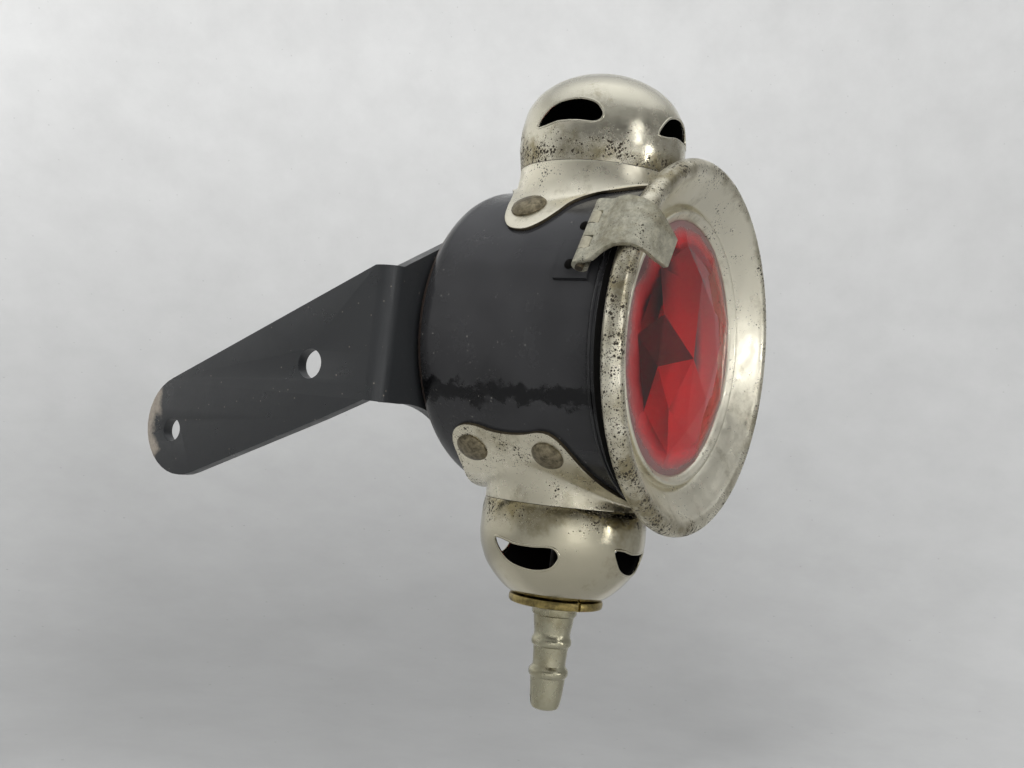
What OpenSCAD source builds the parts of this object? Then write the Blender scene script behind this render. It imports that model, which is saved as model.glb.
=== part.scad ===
// Acetylene tail lamp for a motorcycle or small car, on a cranked strip bracket.
// Pieces are drawn about the lamp's centre, where the drum's axis meets the chimney's axis,
// and then moved so that the bracket's large bolt hole is the origin.
// +Z is up the chimney, the red glass faces -Y, and the bracket reaches back along +Y.
// Profiles of the drum and the door hold [radius, distance forward of the chimney's axis].

/* [Drum] */
// Outer radius of the drum
drum_r = 31.4; // [31:0.1:32]
// Sheet thickness of the drum
drum_wall = 0.9; // [0.6:0.1:1.2]
// From the chimney's axis back to the drum's outer back face
drum_back = 22; // [21:0.5:26]
// From the chimney's neck forward to the drum's mouth
front_gap = 4.4; // [4:0.1:5.4]
// Outer radius of the drum's rounded back corner
drum_corner_r = 5.7; // [3:0.1:6]

/* [Mouth ring] */
// Thickness of the ring soldered round the drum's mouth
mouth_wall = 0.6; // [0.4:0.1:0.8]
// Length of the ring along the drum
mouth_len = 2.7; // [2.5:0.1:2.8]
// Radius of each raised line on the ring
mouth_line_r = 0.3; // [0.2:0.05:0.35]

/* [Door] */
// How far the rolled edge stands out over the drum
rim_over = 5.6; // [5.2:0.1:6.6]
// Radius of the rolled edge's section
rim_roll_r = 2.1; // [1.6:0.1:2.3]
// From the drum's mouth forward to the middle of the rolled edge
rim_lead = 4; // [3.8:0.1:4.8]
// Sheet thickness of the door
door_wall = 0.8; // [0.6:0.1:1]
// From the drum's outer skin in to where the glass is first seen
sight_in = 6.2; // [6:0.1:7.4]
// Width of the bead round the glass
bead_w = 2.1; // [1.6:0.1:2.4]
// How far the bead stands out over the glass's margin
bead_out = 1.5; // [1.4:0.1:2.6]
// Depth of the door's skirt behind the rolled edge's middle
skirt_depth = 4.6; // [4.2:0.1:5]
// Radial clearance of the skirt over the mouth ring
skirt_gap = 0.3; // [0.2:0.05:0.5]

/* [Ruby glass] */
// How far the glass reaches out behind the bead
glass_lap = 1.2; // [0.8:0.1:1.3]
// Thickness of the glass at its edge
glass_edge_t = 1.7; // [1.2:0.1:1.8]
// From the drum's mouth forward to the flat margin of the glass
glass_lead = 1; // [0.8:0.1:1.4]
// Number of facets in each ring
facets = 9; // [8:1:12]
// Width of the flat margin round the facets
facet_margin = 3.8; // [3:0.1:4.4]
// Radius of the inner ring of facet corners, as a part of the outer ring's radius
facet_part = 0.68; // [0.55:0.01:0.8]
// Height of those corners over the margin
facet_h = 2.5; // [1.8:0.1:2.9]
// Height of the middle point over the margin
point_h = 3.1; // [3:0.1:4]
// How far the point sits under the drum's axis
point_down = 1.8; // [0:0.1:2]
// Turn of the first facet corner from +X
facet_turn = 0; // [0:1:40]

/* [Door hinge] */
// Direction of the hinge round the drum, from +X toward +Z
hinge_at = 151.5; // [135:0.5:155]
// Distance of the hinge pin over the drum's skin
pin_rise = 3.2; // [3:0.1:3.6]
// From the drum's mouth back to the hinge pin
pin_back = 4.6; // [4.4:0.1:6]
// Radius of the hinge pin
hinge_pin_r = 0.75; // [0.6:0.05:0.9]
// Radial clearance of the moving knuckles round the pin
pin_gap = 0.05; // [0.02:0.01:0.1]
// Outer radius of the knuckles
knuckle_r = 1.6; // [1.4:0.05:1.8]
// Length of the whole hinge along its pin
hinge_len = 14.6; // [12:0.1:16]
// End clearance between neighbouring knuckles
knuckle_gap = 0.25; // [0.15:0.05:0.4]
// Thickness of the strap over the rim
strap_t = 1; // [0.8:0.1:1.2]
// Width of the strap at its turned-down end
strap_tip_w = 6.1; // [5:0.1:9]
// Length of the hinge's leaf on the drum
leaf_w = 7; // [5:0.1:8]

/* [Chimney] */
// Radius of the neck where the dome or the cup joins its saddle
neck_r = 16.6; // [15:0.1:16.8]
// How much narrower than the neck the openings in the drum are
opening_in = 1.4; // [1.3:0.1:4]
// How far the dome's widest line stands out over the neck
dome_over = 0.7; // [0.4:0.1:1.4]
// Height of the dome's widest line over the joint
dome_wide_up = 5.9; // [5:0.1:7]
// Rise of the dome over its widest line
dome_rise = 15.4; // [14:0.1:18]
// Height of the joint between saddle and dome over the drum
dome_foot_up = 3.2; // [2.8:0.1:4.4]
// Exponent of the dome's and the cup's curve; 2 is an ellipse
crown_power = 2.3; // [2:0.05:2.6]
// Sheet thickness of the chimney, the intake cup and the saddles
plate_wall = 0.7; // [0.6:0.05:0.8]

/* [Air intake] */
// How far the cup's widest line stands out over the neck
cup_over = 0.45; // [0.3:0.05:1.4]
// Depth of the cup's widest line under the joint
cup_wide_down = 5.2; // [4.6:0.1:6.6]
// Depth of the cup's full curve under its widest line
cup_drop = 16; // [15.5:0.1:17]
// Depth of the cup's flat bottom under its widest line
cup_flat = 13.8; // [13:0.1:14.4]
// Depth of the joint between saddle and cup under the drum
cup_foot_down = 1.9; // [1.4:0.1:2.6]

/* [Vents] */
// Number of vents round the dome, and round the cup
vents = 4; // [3:1:4]
// Turn of the first vent from -X toward the glass
vent_turn = 2; // [0:1:20]
// Height of a vent
vent_h = 5.5; // [4:0.1:6]
// Half the length of a vent, measured straight across
vent_half_l = 7.2; // [5:0.1:8]
// From the widest line to the vent's near edge
vent_off = 1; // [0.8:0.1:2]

/* [Saddles] */
// How far the upper saddle's round skirt stands out over the neck
top_skirt_over = 1.2; // [0.9:0.1:3.4]
// How far the lower saddle's round skirt stands out over the neck
low_skirt_over = 3.7; // [2.4:0.1:4.4]
// From the rivets to the ends of the upper saddle's ears
ear_end_gap = 5; // [4.4:0.1:5.4]
// Radius of an upper ear's round end
ear_r = 5.4; // [4.8:0.1:5.8]
// Radius of a lower ear's corner
low_ear_r = 4; // [3.8:0.1:4.4]
// From the neck out to the upper ears' rivets
ear_out = 4.5; // [4:0.1:5.2]
// From the neck out to the lower ears' rivets
low_ear_out = 5; // [4:0.1:5.4]
// How far the saddles' flare spreads beyond the neck
flare_w = 4.6; // [3.6:0.1:5]
// Depth over which the flare spreads
flare_h = 14.5; // [13:0.5:16]
// How far the ears sit behind the chimney's axis
ear_back = 1.8; // [0:0.1:3]
// How far the upper rivets sit behind the middle of their ears
ear_rivet_back = 1.6; // [0:0.1:2]
// Distance between the two rivets of a lower ear
low_rivet_gap = 17; // [14:0.1:18]
// Head radius of the upper rivets
top_head_r = 3.6; // [2.6:0.1:3.8]
// Head radius of the lower rivets
low_head_r = 3.5; // [2.8:0.1:3.7]
// Height of the saddle rivets' heads
head_h = 1.4; // [1:0.1:1.6]
// Shank radius of the saddle rivets
shank_r = 1.2; // [0.9:0.1:1.5]

/* [Gas nozzle] */
// Radius of the lock ring under the cup
lock_ring_r = 9.7; // [8.5:0.1:9.9]
// Thickness of the lock ring
lock_ring_t = 1.8; // [1.4:0.1:2.4]
// Radius of the nozzle's collar
collar_r = 4.65; // [4.6:0.05:5.5]
// Thickness of the collar
collar_t = 2.1; // [1.6:0.1:2.6]
// Length of the nozzle below its collar
nozzle_len = 19; // [17:0.5:22]
// Radius of the crest of each barb
barb_r = 4.1; // [4:0.05:4.3]
// Radius of the gas passage
gas_r = 1.25; // [1:0.05:1.4]
// Width of the key slot in the nozzle's end
key_slot_w = 1.2; // [1:0.1:1.4]
// Depth of the key slot
key_slot_l = 2.8; // [2:0.1:3.2]
// Radius of the threaded shank through the cup
nozzle_shank_r = 3; // [2.8:0.1:3.2]
// Thickness of the nut inside the cup
inner_nut_t = 2.6; // [2:0.1:3]

/* [Burner] */
// Outer radius of the gas tube
tube_r = 2; // [1.8:0.05:2.2]
// Depth of the gas tube's top under the lamp's centre
tube_top = 17; // [15:0.5:19]
// Outer radius of the burner's brass holder
holder_r = 3.4; // [3:0.1:4]
// Length of the burner's brass holder
holder_len = 7; // [6:0.5:8]
// Radius of the steatite tip
tip_r = 2.6; // [2.4:0.1:2.8]
// Distance between the two jets
jet_gap = 8; // [7:0.5:10]
// Number of holes in the air plate
air_holes = 12; // [8:1:14]

/* [Bracket] */
// From the lamp's middle plane out to the arm's outer face
arm_out = 38; // [36:0.5:40]
// Thickness of the bracket strip
strip_t = 2.4; // [2:0.1:2.8]
// Outer radius of the bend
bend_r = 3.6; // [3.2:0.1:5]
// From the chimney's axis back to the large bolt hole
bolt_back = 40; // [37:0.5:44]
// Drop of the large bolt hole under the lamp's centre
bolt_drop = 10.7; // [8:0.1:13]
// Slope of the arm down toward its end
arm_slope = 23.8; // [15:0.1:28]
// Width of the arm at the large bolt hole
arm_w = 23; // [20:0.1:25]
// Width of the arm at its round end
arm_end_w = 21.4; // [18:0.1:23]
// Distance between the two bolt holes
hole_gap = 40.4; // [34:0.1:46]
// From the small bolt hole to the arm's end
end_gap = 7.4; // [6.5:0.1:9]
// Radius of the large bolt hole
bolt_r = 3; // [2.5:0.05:3.3]
// Radius of the small bolt hole
small_bolt_r = 2.5; // [2:0.05:2.8]
// Radius of the bracket's round plate on the drum's back
back_plate_r = 24.5; // [22:0.1:25]
// Distance of the bracket's rivets from the drum's axis
back_rivet_at = 15; // [12:0.5:17]
// Number of the bracket's rivets
back_rivets = 4; // [3:1:6]

/* [Hidden] */
$fn = 96;

black_enamel = "#1c1d1f";
nickel = "#b8b19c";
dull_nickel = "#8a8470";
brass = "#9c7f3e";
ruby = [0.55, 0.03, 0.05, 0.9];
steatite = "#d8d2c2";
packing = "#7d7468";

// Solder and sheet seams are this wide
seam = 0.05;
// A cut runs this far past the face that it opens
over = 1;
far = 200;

lamp_at = [arm_out - strip_t / 2, -bolt_back, bolt_drop];

drum_in_r = drum_r - drum_wall;
drum_front = neck_r + front_gap;
rim_r = drum_r + rim_over;
rim_fwd = drum_front + rim_lead;
sight_r = drum_r - sight_in;
glass_r = sight_r + glass_lap;
glass_fwd = drum_front + glass_lead;
facet_edge_r = sight_r - facet_margin;
facet_r = facet_edge_r * facet_part;
pin_out = drum_r + pin_rise;
pin_fwd = drum_front - pin_back;
opening_r = neck_r - opening_in;
dome_r = neck_r + dome_over;
cup_r = neck_r + cup_over;
dome_foot_z = drum_r + dome_foot_up;
dome_wide_z = dome_foot_z + dome_wide_up;
cup_foot_z = drum_r + cup_foot_down;
cup_wide_z = cup_foot_z + cup_wide_down;
top_skirt_r = neck_r + top_skirt_over;
low_skirt_r = neck_r + low_skirt_over;
ear_x = neck_r + ear_out;
low_ear_x = neck_r + low_ear_out;
ear_reach = ear_x + ear_end_gap;
ear_rivet_y = ear_back + ear_rivet_back;
mouth_r = drum_r + seam + mouth_wall;
mouth_back = drum_front - mouth_len;
saddle_in_r = drum_r + seam;
saddle_out_r = saddle_in_r + plate_wall;
neck_in_r = neck_r - plate_wall;
spigot_r = neck_in_r - seam;
spigot_len = dome_foot_up - 0.4;
cup_spigot_len = cup_foot_z - drum_r - 0.15;
crown_steps = 16;
skirt_in_r = mouth_r + skirt_gap;
skirt_r = skirt_in_r + door_wall;
rim_mid_r = rim_r - rim_roll_r;
bead_mid_r = sight_r + bead_w / 2;
bead_foot_r = sight_r + bead_w;
bead_top_r = bead_w / 2;
cell_in_r = glass_r + 0.25;
cell_r = cell_in_r + 0.45;
cell_back = glass_fwd - 2.6;
glass_seat = glass_fwd - 0.05;
glass_back = glass_seat - glass_edge_t;
packing_r = 0.3;
leaf_t = plate_wall;
leaf_out_r = drum_r + seam + leaf_t;
hinge_parts = 5;
knuckle_len = (hinge_len - (hinge_parts - 1) * knuckle_gap) / hinge_parts;
leaf_rivet_gap = hinge_len * 0.62;
leaf_rivet_fwd = pin_fwd - 0.6 * leaf_w;
leaf_rivet_r = 0.65 * knuckle_r;
cup_flat_z = -(cup_wide_z + cup_flat);
lock_z = cup_flat_z - seam;
collar_z = lock_z - lock_ring_t - seam;
barb_z = collar_z - collar_t;
nut_z = cup_flat_z + plate_wall + seam;
nut_af = 2 * nozzle_shank_r + 4;
nozzle_top = nut_z + inner_nut_t + 1.2;
baffle_z = dome_foot_z + 0.6;
baffle_r = 0.675 * neck_r;
air_plate_r = spigot_r - plate_wall - seam;
low_rivet_y = [ear_back - low_rivet_gap / 2, ear_back + low_rivet_gap / 2];
bend_in_r = bend_r - strip_t;
arm_start = drum_back + bend_r;
arm_top_z = 0.86 * bolt_drop;
arm_low_z = -bolt_drop - arm_w / 2 / cos(arm_slope) + (bolt_back - arm_start) * tan(arm_slope);
arm_fillet_r = 25.4;
arm_fillet_at = [-arm_out + 10, arm_low_z - arm_fillet_r + 0.2];

// Places of a ring of n things, as angles
function ring(n, start = 0) = [for (i = [0 : n - 1]) start + 360 * i / n];
// Points of an arc
function arc(c, r, a, b, n = 12) =
    [for (i = [0 : n]) let (t = a + (b - a) * i / n) c + r * [cos(t), sin(t)]];
// A squashed crown's outline from its widest line at 0 degrees to its top at 90
function crown(r, h, a, b, n = crown_steps) =
    [for (i = [0 : n]) let (t = a + (b - a) * i / n)
        [t == 90 ? 0 : r * pow(cos(t), 2 / crown_power), h * pow(sin(t), 2 / crown_power)]];
// A smooth line through points, four steps to a span
function bend_point(p, i, t) =
    let (a = p[max(i - 1, 0)], b = p[i], c = p[i + 1], d = p[min(i + 2, len(p) - 1)])
    0.5 * (2 * b + (c - a) * t + (2 * a - 5 * b + 4 * c - d) * t * t + (3 * b - a - 3 * c + d) * t * t * t);
function smooth(p, steps = 4) =
    concat([for (i = [0 : len(p) - 2]) for (k = [0 : steps - 1]) bend_point(p, i, k / steps)],
        [p[len(p) - 1]]);
function unit(v) = v / norm(v);
function side(p, i) = let (d = unit(p[min(i + 1, len(p) - 1)] - p[max(i - 1, 0)])) [-d[1], d[0]];
// The line moved sideways
function moved(p, by) = [for (i = [0 : len(p) - 1]) p[i] + by * side(p, i)];
function backward(p) = [for (i = [len(p) - 1 : -1 : 0]) p[i]];
// A sheet of thickness t on one side of a line
function sheet(p, t) = concat(p, backward(moved(p, t)));
// Points of a curve from a to b that heads for c
function curve(a, c, b, n = 7) =
    [for (i = [0 : n]) let (t = i / n) (1 - t) * (1 - t) * a + 2 * t * (1 - t) * c + t * t * b];
// Corners of the straight sides between two circles
function tangent_quad(c1, r1, c2, r2) =
    let (d = c2 - c1, a = atan2(d[1], d[0]), b = acos((r1 - r2) / norm(d)))
    [c1 + r1 * [cos(a + b), sin(a + b)], c2 + r2 * [cos(a + b), sin(a + b)],
     c2 + r2 * [cos(a - b), sin(a - b)], c1 + r1 * [cos(a - b), sin(a - b)]];

// A circle at c2 and the straight sides that join it to one at c1
module joined_circles(c1, r1, c2, r2) {
    translate(c2) circle(r2);
    polygon(concat([c1], tangent_quad(c1, r1 - 0.03, c2, r2 - 0.03)));
}

// Turns a profile of [radius, forward] about the drum's axis
module about_drum() {
    rotate([90, 0, 0]) rotate_extrude() children();
}

// Local +X points out from the drum's axis in the direction given
module at_clock(a) {
    rotate([0, -a, 0]) children();
}

// Stands a saddle's rivet or its hole at distance r from the drum's axis, its +Z pointing out,
// over the drum or under it, its head at [x, y]
module on_drum(x, y, up, r) {
    a = asin(x / (saddle_out_r + seam));
    translate([0, y, 0]) rotate([0, up > 0 ? a : 180 - a, 0]) translate([0, 0, r]) children();
}

// A long cylinder about the drum's axis
module drum_core(r) {
    rotate([90, 0, 0]) cylinder(r = r, h = far, center = true);
}

// Rivet with a low domed head; its shank goes down through the sheets
module rivet(head_r, h, shank, grip) {
    dome = (head_r * head_r + h * h) / (2 * h);
    intersection() {
        translate([0, 0, h - dome]) sphere(dome);
        cylinder(r = head_r, h = h + over);
    }
    translate([0, 0, -grip]) cylinder(r = shank, h = grip + h / 2);
}

drum_outline = concat(
    [[0, -drum_back]],
    arc([drum_r - drum_corner_r, -drum_back + drum_corner_r], drum_corner_r, -90, 0),
    [[drum_r, drum_front], [drum_in_r, drum_front]],
    arc([drum_r - drum_corner_r, -drum_back + drum_corner_r], drum_corner_r - drum_wall, 0, -90),
    [[0, -drum_back + drum_wall]]);

// Drawn steel drum, open at the mouth, with a round opening above and one below
module drum_body() {
    color(black_enamel) difference() {
        about_drum() polygon(drum_outline);
        cylinder(r = opening_r, h = 2 * drum_r + far, center = true);
        for (x = [-ear_x, ear_x])
            on_drum(x, ear_rivet_y, 1, drum_r) cylinder(r = shank_r + seam, h = 6, center = true);
        for (x = [-low_ear_x, low_ear_x], y = low_rivet_y)
            on_drum(x, y, -1, drum_r) cylinder(r = shank_r + seam, h = 6, center = true);
        for (a = ring(back_rivets, 45)) at_clock(a)
            translate([back_rivet_at, drum_back, 0]) rotate([90, 0, 0])
                cylinder(r = shank_r + seam, h = 6, center = true);
        for (z = [-1, 1]) at_clock(hinge_at)
            translate([drum_r, -leaf_rivet_fwd, z * leaf_rivet_gap / 2]) rotate([0, 90, 0])
                cylinder(r = leaf_rivet_r / 2 + seam, h = 6, center = true);
    }
}

// Ring soldered round the mouth, with two raised lines; the door's skirt slides over its front
module mouth_ring() {
    color(black_enamel) about_drum() {
        translate([drum_r + seam, mouth_back]) square([mouth_wall, mouth_len]);
        for (f = [mouth_back + 0.45, mouth_back + 1.55]) intersection() {
            translate([mouth_r, f]) circle(mouth_line_r);
            translate([mouth_r - mouth_wall / 2, mouth_back]) square([2, mouth_len]);
        }
    }
}

// Solid of a saddle's neck and flare, grown by t and cut off h over the joint
module neck_solid(foot_z, t, h) {
    line = smooth([for (p = [[0, 0], [0.03, 0.166], [0.17, 0.372], [0.43, 0.572], [0.78, 0.759], [1, 1]])
        [neck_r + flare_w * p[0], foot_z - flare_h * p[1]]], 3);
    rotate_extrude() polygon(concat(
        [[0, foot_z + h], [neck_r + t, foot_z + h]],
        [for (i = [1 : len(line) - 1]) moved(line, t)[i]],
        [[0, foot_z - flare_h]]));
}

// Sheet saddle: flange wrapped on the drum, flared up into the neck
module saddle(foot_z) {
    difference() {
        union() {
            intersection() {
                difference() {
                    drum_core(saddle_out_r);
                    drum_core(saddle_out_r - 2 * plate_wall);
                }
                linear_extrude(far) children();
            }
            neck_solid(foot_z, 0, 0);
        }
        drum_core(saddle_in_r);
        neck_solid(foot_z, -plate_wall, over);
    }
}

// Plan of one upper ear, its sides curving into the round skirt
module top_ear() {
    c = [ear_reach - ear_r, ear_back];
    front = curve((top_skirt_r - 0.1) * [cos(50), -sin(50)], [0.876 * top_skirt_r, ear_back - 1.37 * ear_r],
        c - [0, ear_r - 0.02]);
    back = curve(c + [0, ear_r - 0.02], [0.854 * top_skirt_r, ear_back + 1.26 * ear_r],
        (top_skirt_r - 0.1) * [cos(56), sin(56)]);
    polygon(concat([[0, 0]], front, back));
    translate(c) circle(ear_r);
}

module top_saddle() {
    color(nickel) difference() {
        saddle(dome_foot_z) union() {
            circle(top_skirt_r);
            top_ear();
            mirror([1, 0]) top_ear();
        }
        for (x = [-ear_x, ear_x]) {
            on_drum(x, ear_rivet_y, 1, drum_r) cylinder(r = shank_r + seam, h = 6, center = true);
            // flat seat for the head where it meets the flare
            on_drum(x, ear_rivet_y, 1, saddle_out_r + seam / 2) cylinder(r = top_head_r + 0.1, h = 6);
        }
    }
}

module bottom_saddle() {
    color(nickel) difference() {
        mirror([0, 0, 1]) saddle(cup_foot_z) intersection() {
            union() {
                circle(low_skirt_r);
                for (s = [-1, 1]) {
                    for (y = low_rivet_y) joined_circles([0, 0], low_skirt_r, [s * low_ear_x, y], low_ear_r);
                    polygon([[0, low_rivet_y[0]], [0, low_rivet_y[1]],
                        [s * (low_ear_x + 0.7 * low_ear_r), low_rivet_y[1]],
                        [s * (low_ear_x + 0.7 * low_ear_r), low_rivet_y[0]]]);
                }
            }
            // the front edge stops behind the mouth ring
            translate([-far / 2, -mouth_back + 0.15]) square(far);
        }
        for (x = [-low_ear_x, low_ear_x], y = low_rivet_y)
            on_drum(x, y, -1, drum_r) cylinder(r = shank_r + seam, h = 6, center = true);
    }
}

module top_rivets() {
    color(dull_nickel) for (x = [-ear_x, ear_x])
        on_drum(x, ear_rivet_y, 1, saddle_out_r + seam)
            rivet(top_head_r, head_h, shank_r, plate_wall + drum_wall + 1);
}

module bottom_rivets() {
    color(dull_nickel) for (x = [-low_ear_x, low_ear_x], y = low_rivet_y)
        on_drum(x, y, -1, saddle_out_r + seam) rivet(low_head_r, head_h, shank_r, plate_wall + drum_wall + 1);
}

// Kidney-shaped opening cut outward along +X, its near edge at height 0: a thin tip and a round lobe
vent_line = smooth([
    [-1, 0.02], [-0.84, 0.42], [-0.52, 0.8], [-0.05, 0.98], [0.38, 1], [0.76, 0.84],
    [1, 0.42], [0.84, 0.08], [0.25, 0.12], [-0.25, 0.12], [-0.7, 0.02], [-1, 0.02]], 2);
module vent_cut(r) {
    rotate([90, 0, 90]) linear_extrude(r)
        polygon([for (i = [0 : len(vent_line) - 2])
            [vent_line[i][0] * vent_half_l, vent_line[i][1] * vent_h]]);
}

module vent_ring(z, r) {
    for (a = ring(vents, 180 + vent_turn)) rotate([0, 0, a]) translate([r / 3, 0, z]) vent_cut(r);
}

// Outline of the dome's outer or inner face above the joint
function dome_line(in) = concat(
    [[neck_r - in, dome_foot_z + seam + in],
     [neck_r + 0.4 * dome_over - in, dome_foot_z + 0.3 * dome_wide_up],
     [neck_r + 0.8 * dome_over - in, dome_foot_z + 0.6 * dome_wide_up]],
    [for (p = crown(dome_r - in, dome_rise - in, 0, 90)) p + [0, dome_wide_z]]);

// Spun dome; its foot steps in and fits inside the saddle's neck
module chimney_dome() {
    color(nickel) difference() {
        rotate_extrude() polygon(concat(
            [[spigot_r - plate_wall, dome_foot_z - spigot_len], [spigot_r, dome_foot_z - spigot_len],
             [spigot_r, dome_foot_z + seam]],
            dome_line(0), backward(dome_line(plate_wall)),
            [[spigot_r - plate_wall, dome_foot_z + seam + plate_wall]]));
        vent_ring(dome_wide_z + vent_off, dome_r);
    }
}

// Disc on three legs that keeps rain off the flame
module chimney_baffle() {
    leg_r = spigot_r - plate_wall - seam;
    leg_w = 0.18 * neck_r;
    color(dull_nickel) translate([0, 0, baffle_z]) {
        cylinder(r = baffle_r, h = plate_wall);
        for (a = ring(3)) rotate([0, 0, a]) {
            translate([baffle_r - over, -leg_w / 2, 0])
                cube([leg_r - baffle_r + over - 0.4, leg_w, plate_wall]);
            translate([leg_r - 0.4 - plate_wall, -leg_w / 2, -leg_w])
                cube([plate_wall, leg_w, leg_w + plate_wall]);
        }
    }
}

// Outline of the cup's outer or inner face below the joint, with z growing downward
function cup_line(in) = concat(
    [[neck_r - in, cup_foot_z + seam + in],
     [neck_r + 0.6 * cup_over - in, cup_foot_z + 0.4 * cup_wide_down]],
    [for (p = crown(cup_r - in, cup_drop - in, 0, 74)) if (p[1] < cup_flat - in - 0.1) p + [0, cup_wide_z]],
    [[(cup_r - in) * pow(1 - pow((cup_flat - in) / (cup_drop - in), crown_power), 1 / crown_power),
      cup_wide_z + cup_flat - in]]);

module intake_cup() {
    color(nickel) mirror([0, 0, 1]) difference() {
        rotate_extrude() polygon(concat(
            [[spigot_r - plate_wall, cup_foot_z - cup_spigot_len], [spigot_r, cup_foot_z - cup_spigot_len],
             [spigot_r, cup_foot_z + seam]],
            cup_line(0),
            [[nozzle_shank_r + seam, cup_wide_z + cup_flat],
             [nozzle_shank_r + seam, cup_wide_z + cup_flat - plate_wall]],
            backward(cup_line(plate_wall)),
            [[spigot_r - plate_wall, cup_foot_z + seam + plate_wall]]));
        vent_ring(cup_wide_z + vent_off + 1.2, cup_r);
    }
}

// Plate with holes in the cup's mouth that steadies the air to the flame
module air_plate() {
    color(dull_nickel) translate([0, 0, -cup_foot_z + 0.3]) difference() {
        cylinder(r = air_plate_r, h = plate_wall);
        translate([0, 0, -over]) cylinder(r = tube_r + 0.3, h = plate_wall + 2 * over);
        for (a = ring(air_holes)) rotate([0, 0, a]) translate([air_plate_r * 0.66, 0, -over])
            cylinder(r = 1.5, h = plate_wall + 2 * over);
    }
}

// Round plate on the drum's back, flared out to the bend
module back_plate_shape() {
    bend_x = -arm_out + bend_r;
    difference() {
        union() {
            circle(back_plate_r);
            polygon([[bend_x, arm_low_z], [bend_x, arm_top_z],
                tangent_quad([bend_x, arm_top_z], 0.01, [0, 0], back_plate_r)[1],
                [0, 0],
                tangent_quad([bend_x, arm_low_z], 0.01, [0, 0], back_plate_r)[2]]);
        }
        translate(arm_fillet_at) circle(arm_fillet_r);
    }
}

// Arm seen from the side, with [backward, up] from the lamp's centre
module arm_shape() {
    along = [cos(arm_slope), -sin(arm_slope)];
    across = [sin(arm_slope), cos(arm_slope)];
    bolt = [bolt_back, -bolt_drop];
    tip = bolt + (hole_gap + end_gap - arm_end_w / 2) * along;
    difference() {
        union() {
            translate(tip) circle(arm_end_w / 2);
            polygon([
                [arm_start, arm_top_z], tip + across * arm_end_w / 2, tip - across * arm_end_w / 2,
                bolt - across * arm_w / 2, [arm_start, arm_low_z]]);
        }
        translate(bolt) circle(bolt_r);
        translate(bolt + hole_gap * along) circle(small_bolt_r);
    }
}

// Strip bracket in one piece: back plate, bend and drooping arm
module bracket_arm() {
    color(black_enamel) difference() {
        union() {
            translate([0, drum_back + strip_t, 0]) rotate([90, 0, 0])
                linear_extrude(strip_t) back_plate_shape();
            translate([-arm_out, 0, 0]) rotate([90, 0, 90]) linear_extrude(strip_t) arm_shape();
            translate([-arm_out + bend_r, drum_back + bend_r, arm_low_z]) rotate([0, 0, 180])
                rotate_extrude(angle = 90) translate([bend_in_r, 0]) square([strip_t, arm_top_z - arm_low_z]);
        }
        for (a = ring(back_rivets, 45)) at_clock(a)
            translate([back_rivet_at, drum_back, 0]) rotate([90, 0, 0])
                cylinder(r = shank_r + seam, h = 10, center = true);
    }
}

// Plate inside the drum that the bracket's rivets pull against
module back_stiffener() {
    color(dull_nickel) difference() {
        translate([0, drum_back - drum_wall - seam, 0]) rotate([90, 0, 0])
            cylinder(r = back_rivet_at + 5, h = 1);
        for (a = ring(back_rivets, 45)) at_clock(a)
            translate([back_rivet_at, drum_back, 0]) rotate([90, 0, 0])
                cylinder(r = shank_r + seam, h = 10, center = true);
    }
}

module bracket_rivets() {
    grip = strip_t + drum_wall + 1 + 3 * seam;
    color(black_enamel) for (a = ring(back_rivets, 45)) at_clock(a)
        translate([back_rivet_at, drum_back + strip_t + seam, 0]) rotate([-90, 0, 0]) {
            rivet(2.17 * shank_r, shank_r, shank_r, grip);
            mirror([0, 0, 1]) translate([0, 0, grip + seam])
                rivet(1.83 * shank_r, 0.75 * shank_r, shank_r, 0.5);
        }
}

// Thin ring nut that holds the nozzle to the cup, with two spanner notches
module lock_ring() {
    color(brass) translate([0, 0, lock_z - lock_ring_t]) difference() {
        cylinder(r = lock_ring_r, h = lock_ring_t);
        translate([0, 0, -over]) cylinder(r = nozzle_shank_r + seam, h = lock_ring_t + 2 * over);
        for (a = [0, 180]) rotate([0, 0, a + 239]) translate([lock_ring_r - 0.5, -0.3, -over])
            cube([over, 0.6, lock_ring_t + 2 * over]);
    }
}

// Profile of the nozzle's outside below its collar, [radius, depth below the collar]
nozzle_line = [
    [barb_r, 0], [barb_r, 1.6], [barb_r - 0.4, 3.4], [barb_r - 0.1, 4.8], [barb_r, 5.1], [barb_r, 6],
    [barb_r - 0.5, 6.5], [barb_r - 0.7, 9.8], [barb_r - 0.1, 10.8], [barb_r, 11.1], [barb_r, 12],
    [barb_r - 0.5, 12.6], [barb_r - 0.9, nozzle_len - 2], [barb_r - 1.2, nozzle_len - 0.6],
    [barb_r - 1.8, nozzle_len]];

// Turned nozzle with two barbs for a rubber gas tube and a slot in its end for a key
module hose_nozzle() {
    color(nickel) difference() {
        union() {
            translate([0, 0, collar_z - collar_t]) cylinder(r = collar_r, h = collar_t);
            translate([0, 0, collar_z - over]) cylinder(r = nozzle_shank_r, h = nozzle_top - collar_z + over);
            rotate_extrude() polygon(concat([[0, barb_z + over], [barb_r, barb_z + over]],
                [for (p = nozzle_line) [p[0], barb_z - p[1]]], [[0, barb_z - nozzle_len]]));
        }
        translate([0, 0, barb_z - nozzle_len - over]) cylinder(r = gas_r, h = far);
        translate([0, 0, nozzle_top - 2.6]) cylinder(r = tube_r + seam, h = far);
        rotate([0, 0, -52]) translate([0, 0, barb_z - nozzle_len])
            cube([4 * barb_r, key_slot_w, 2 * key_slot_l], center = true);
    }
}

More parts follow.
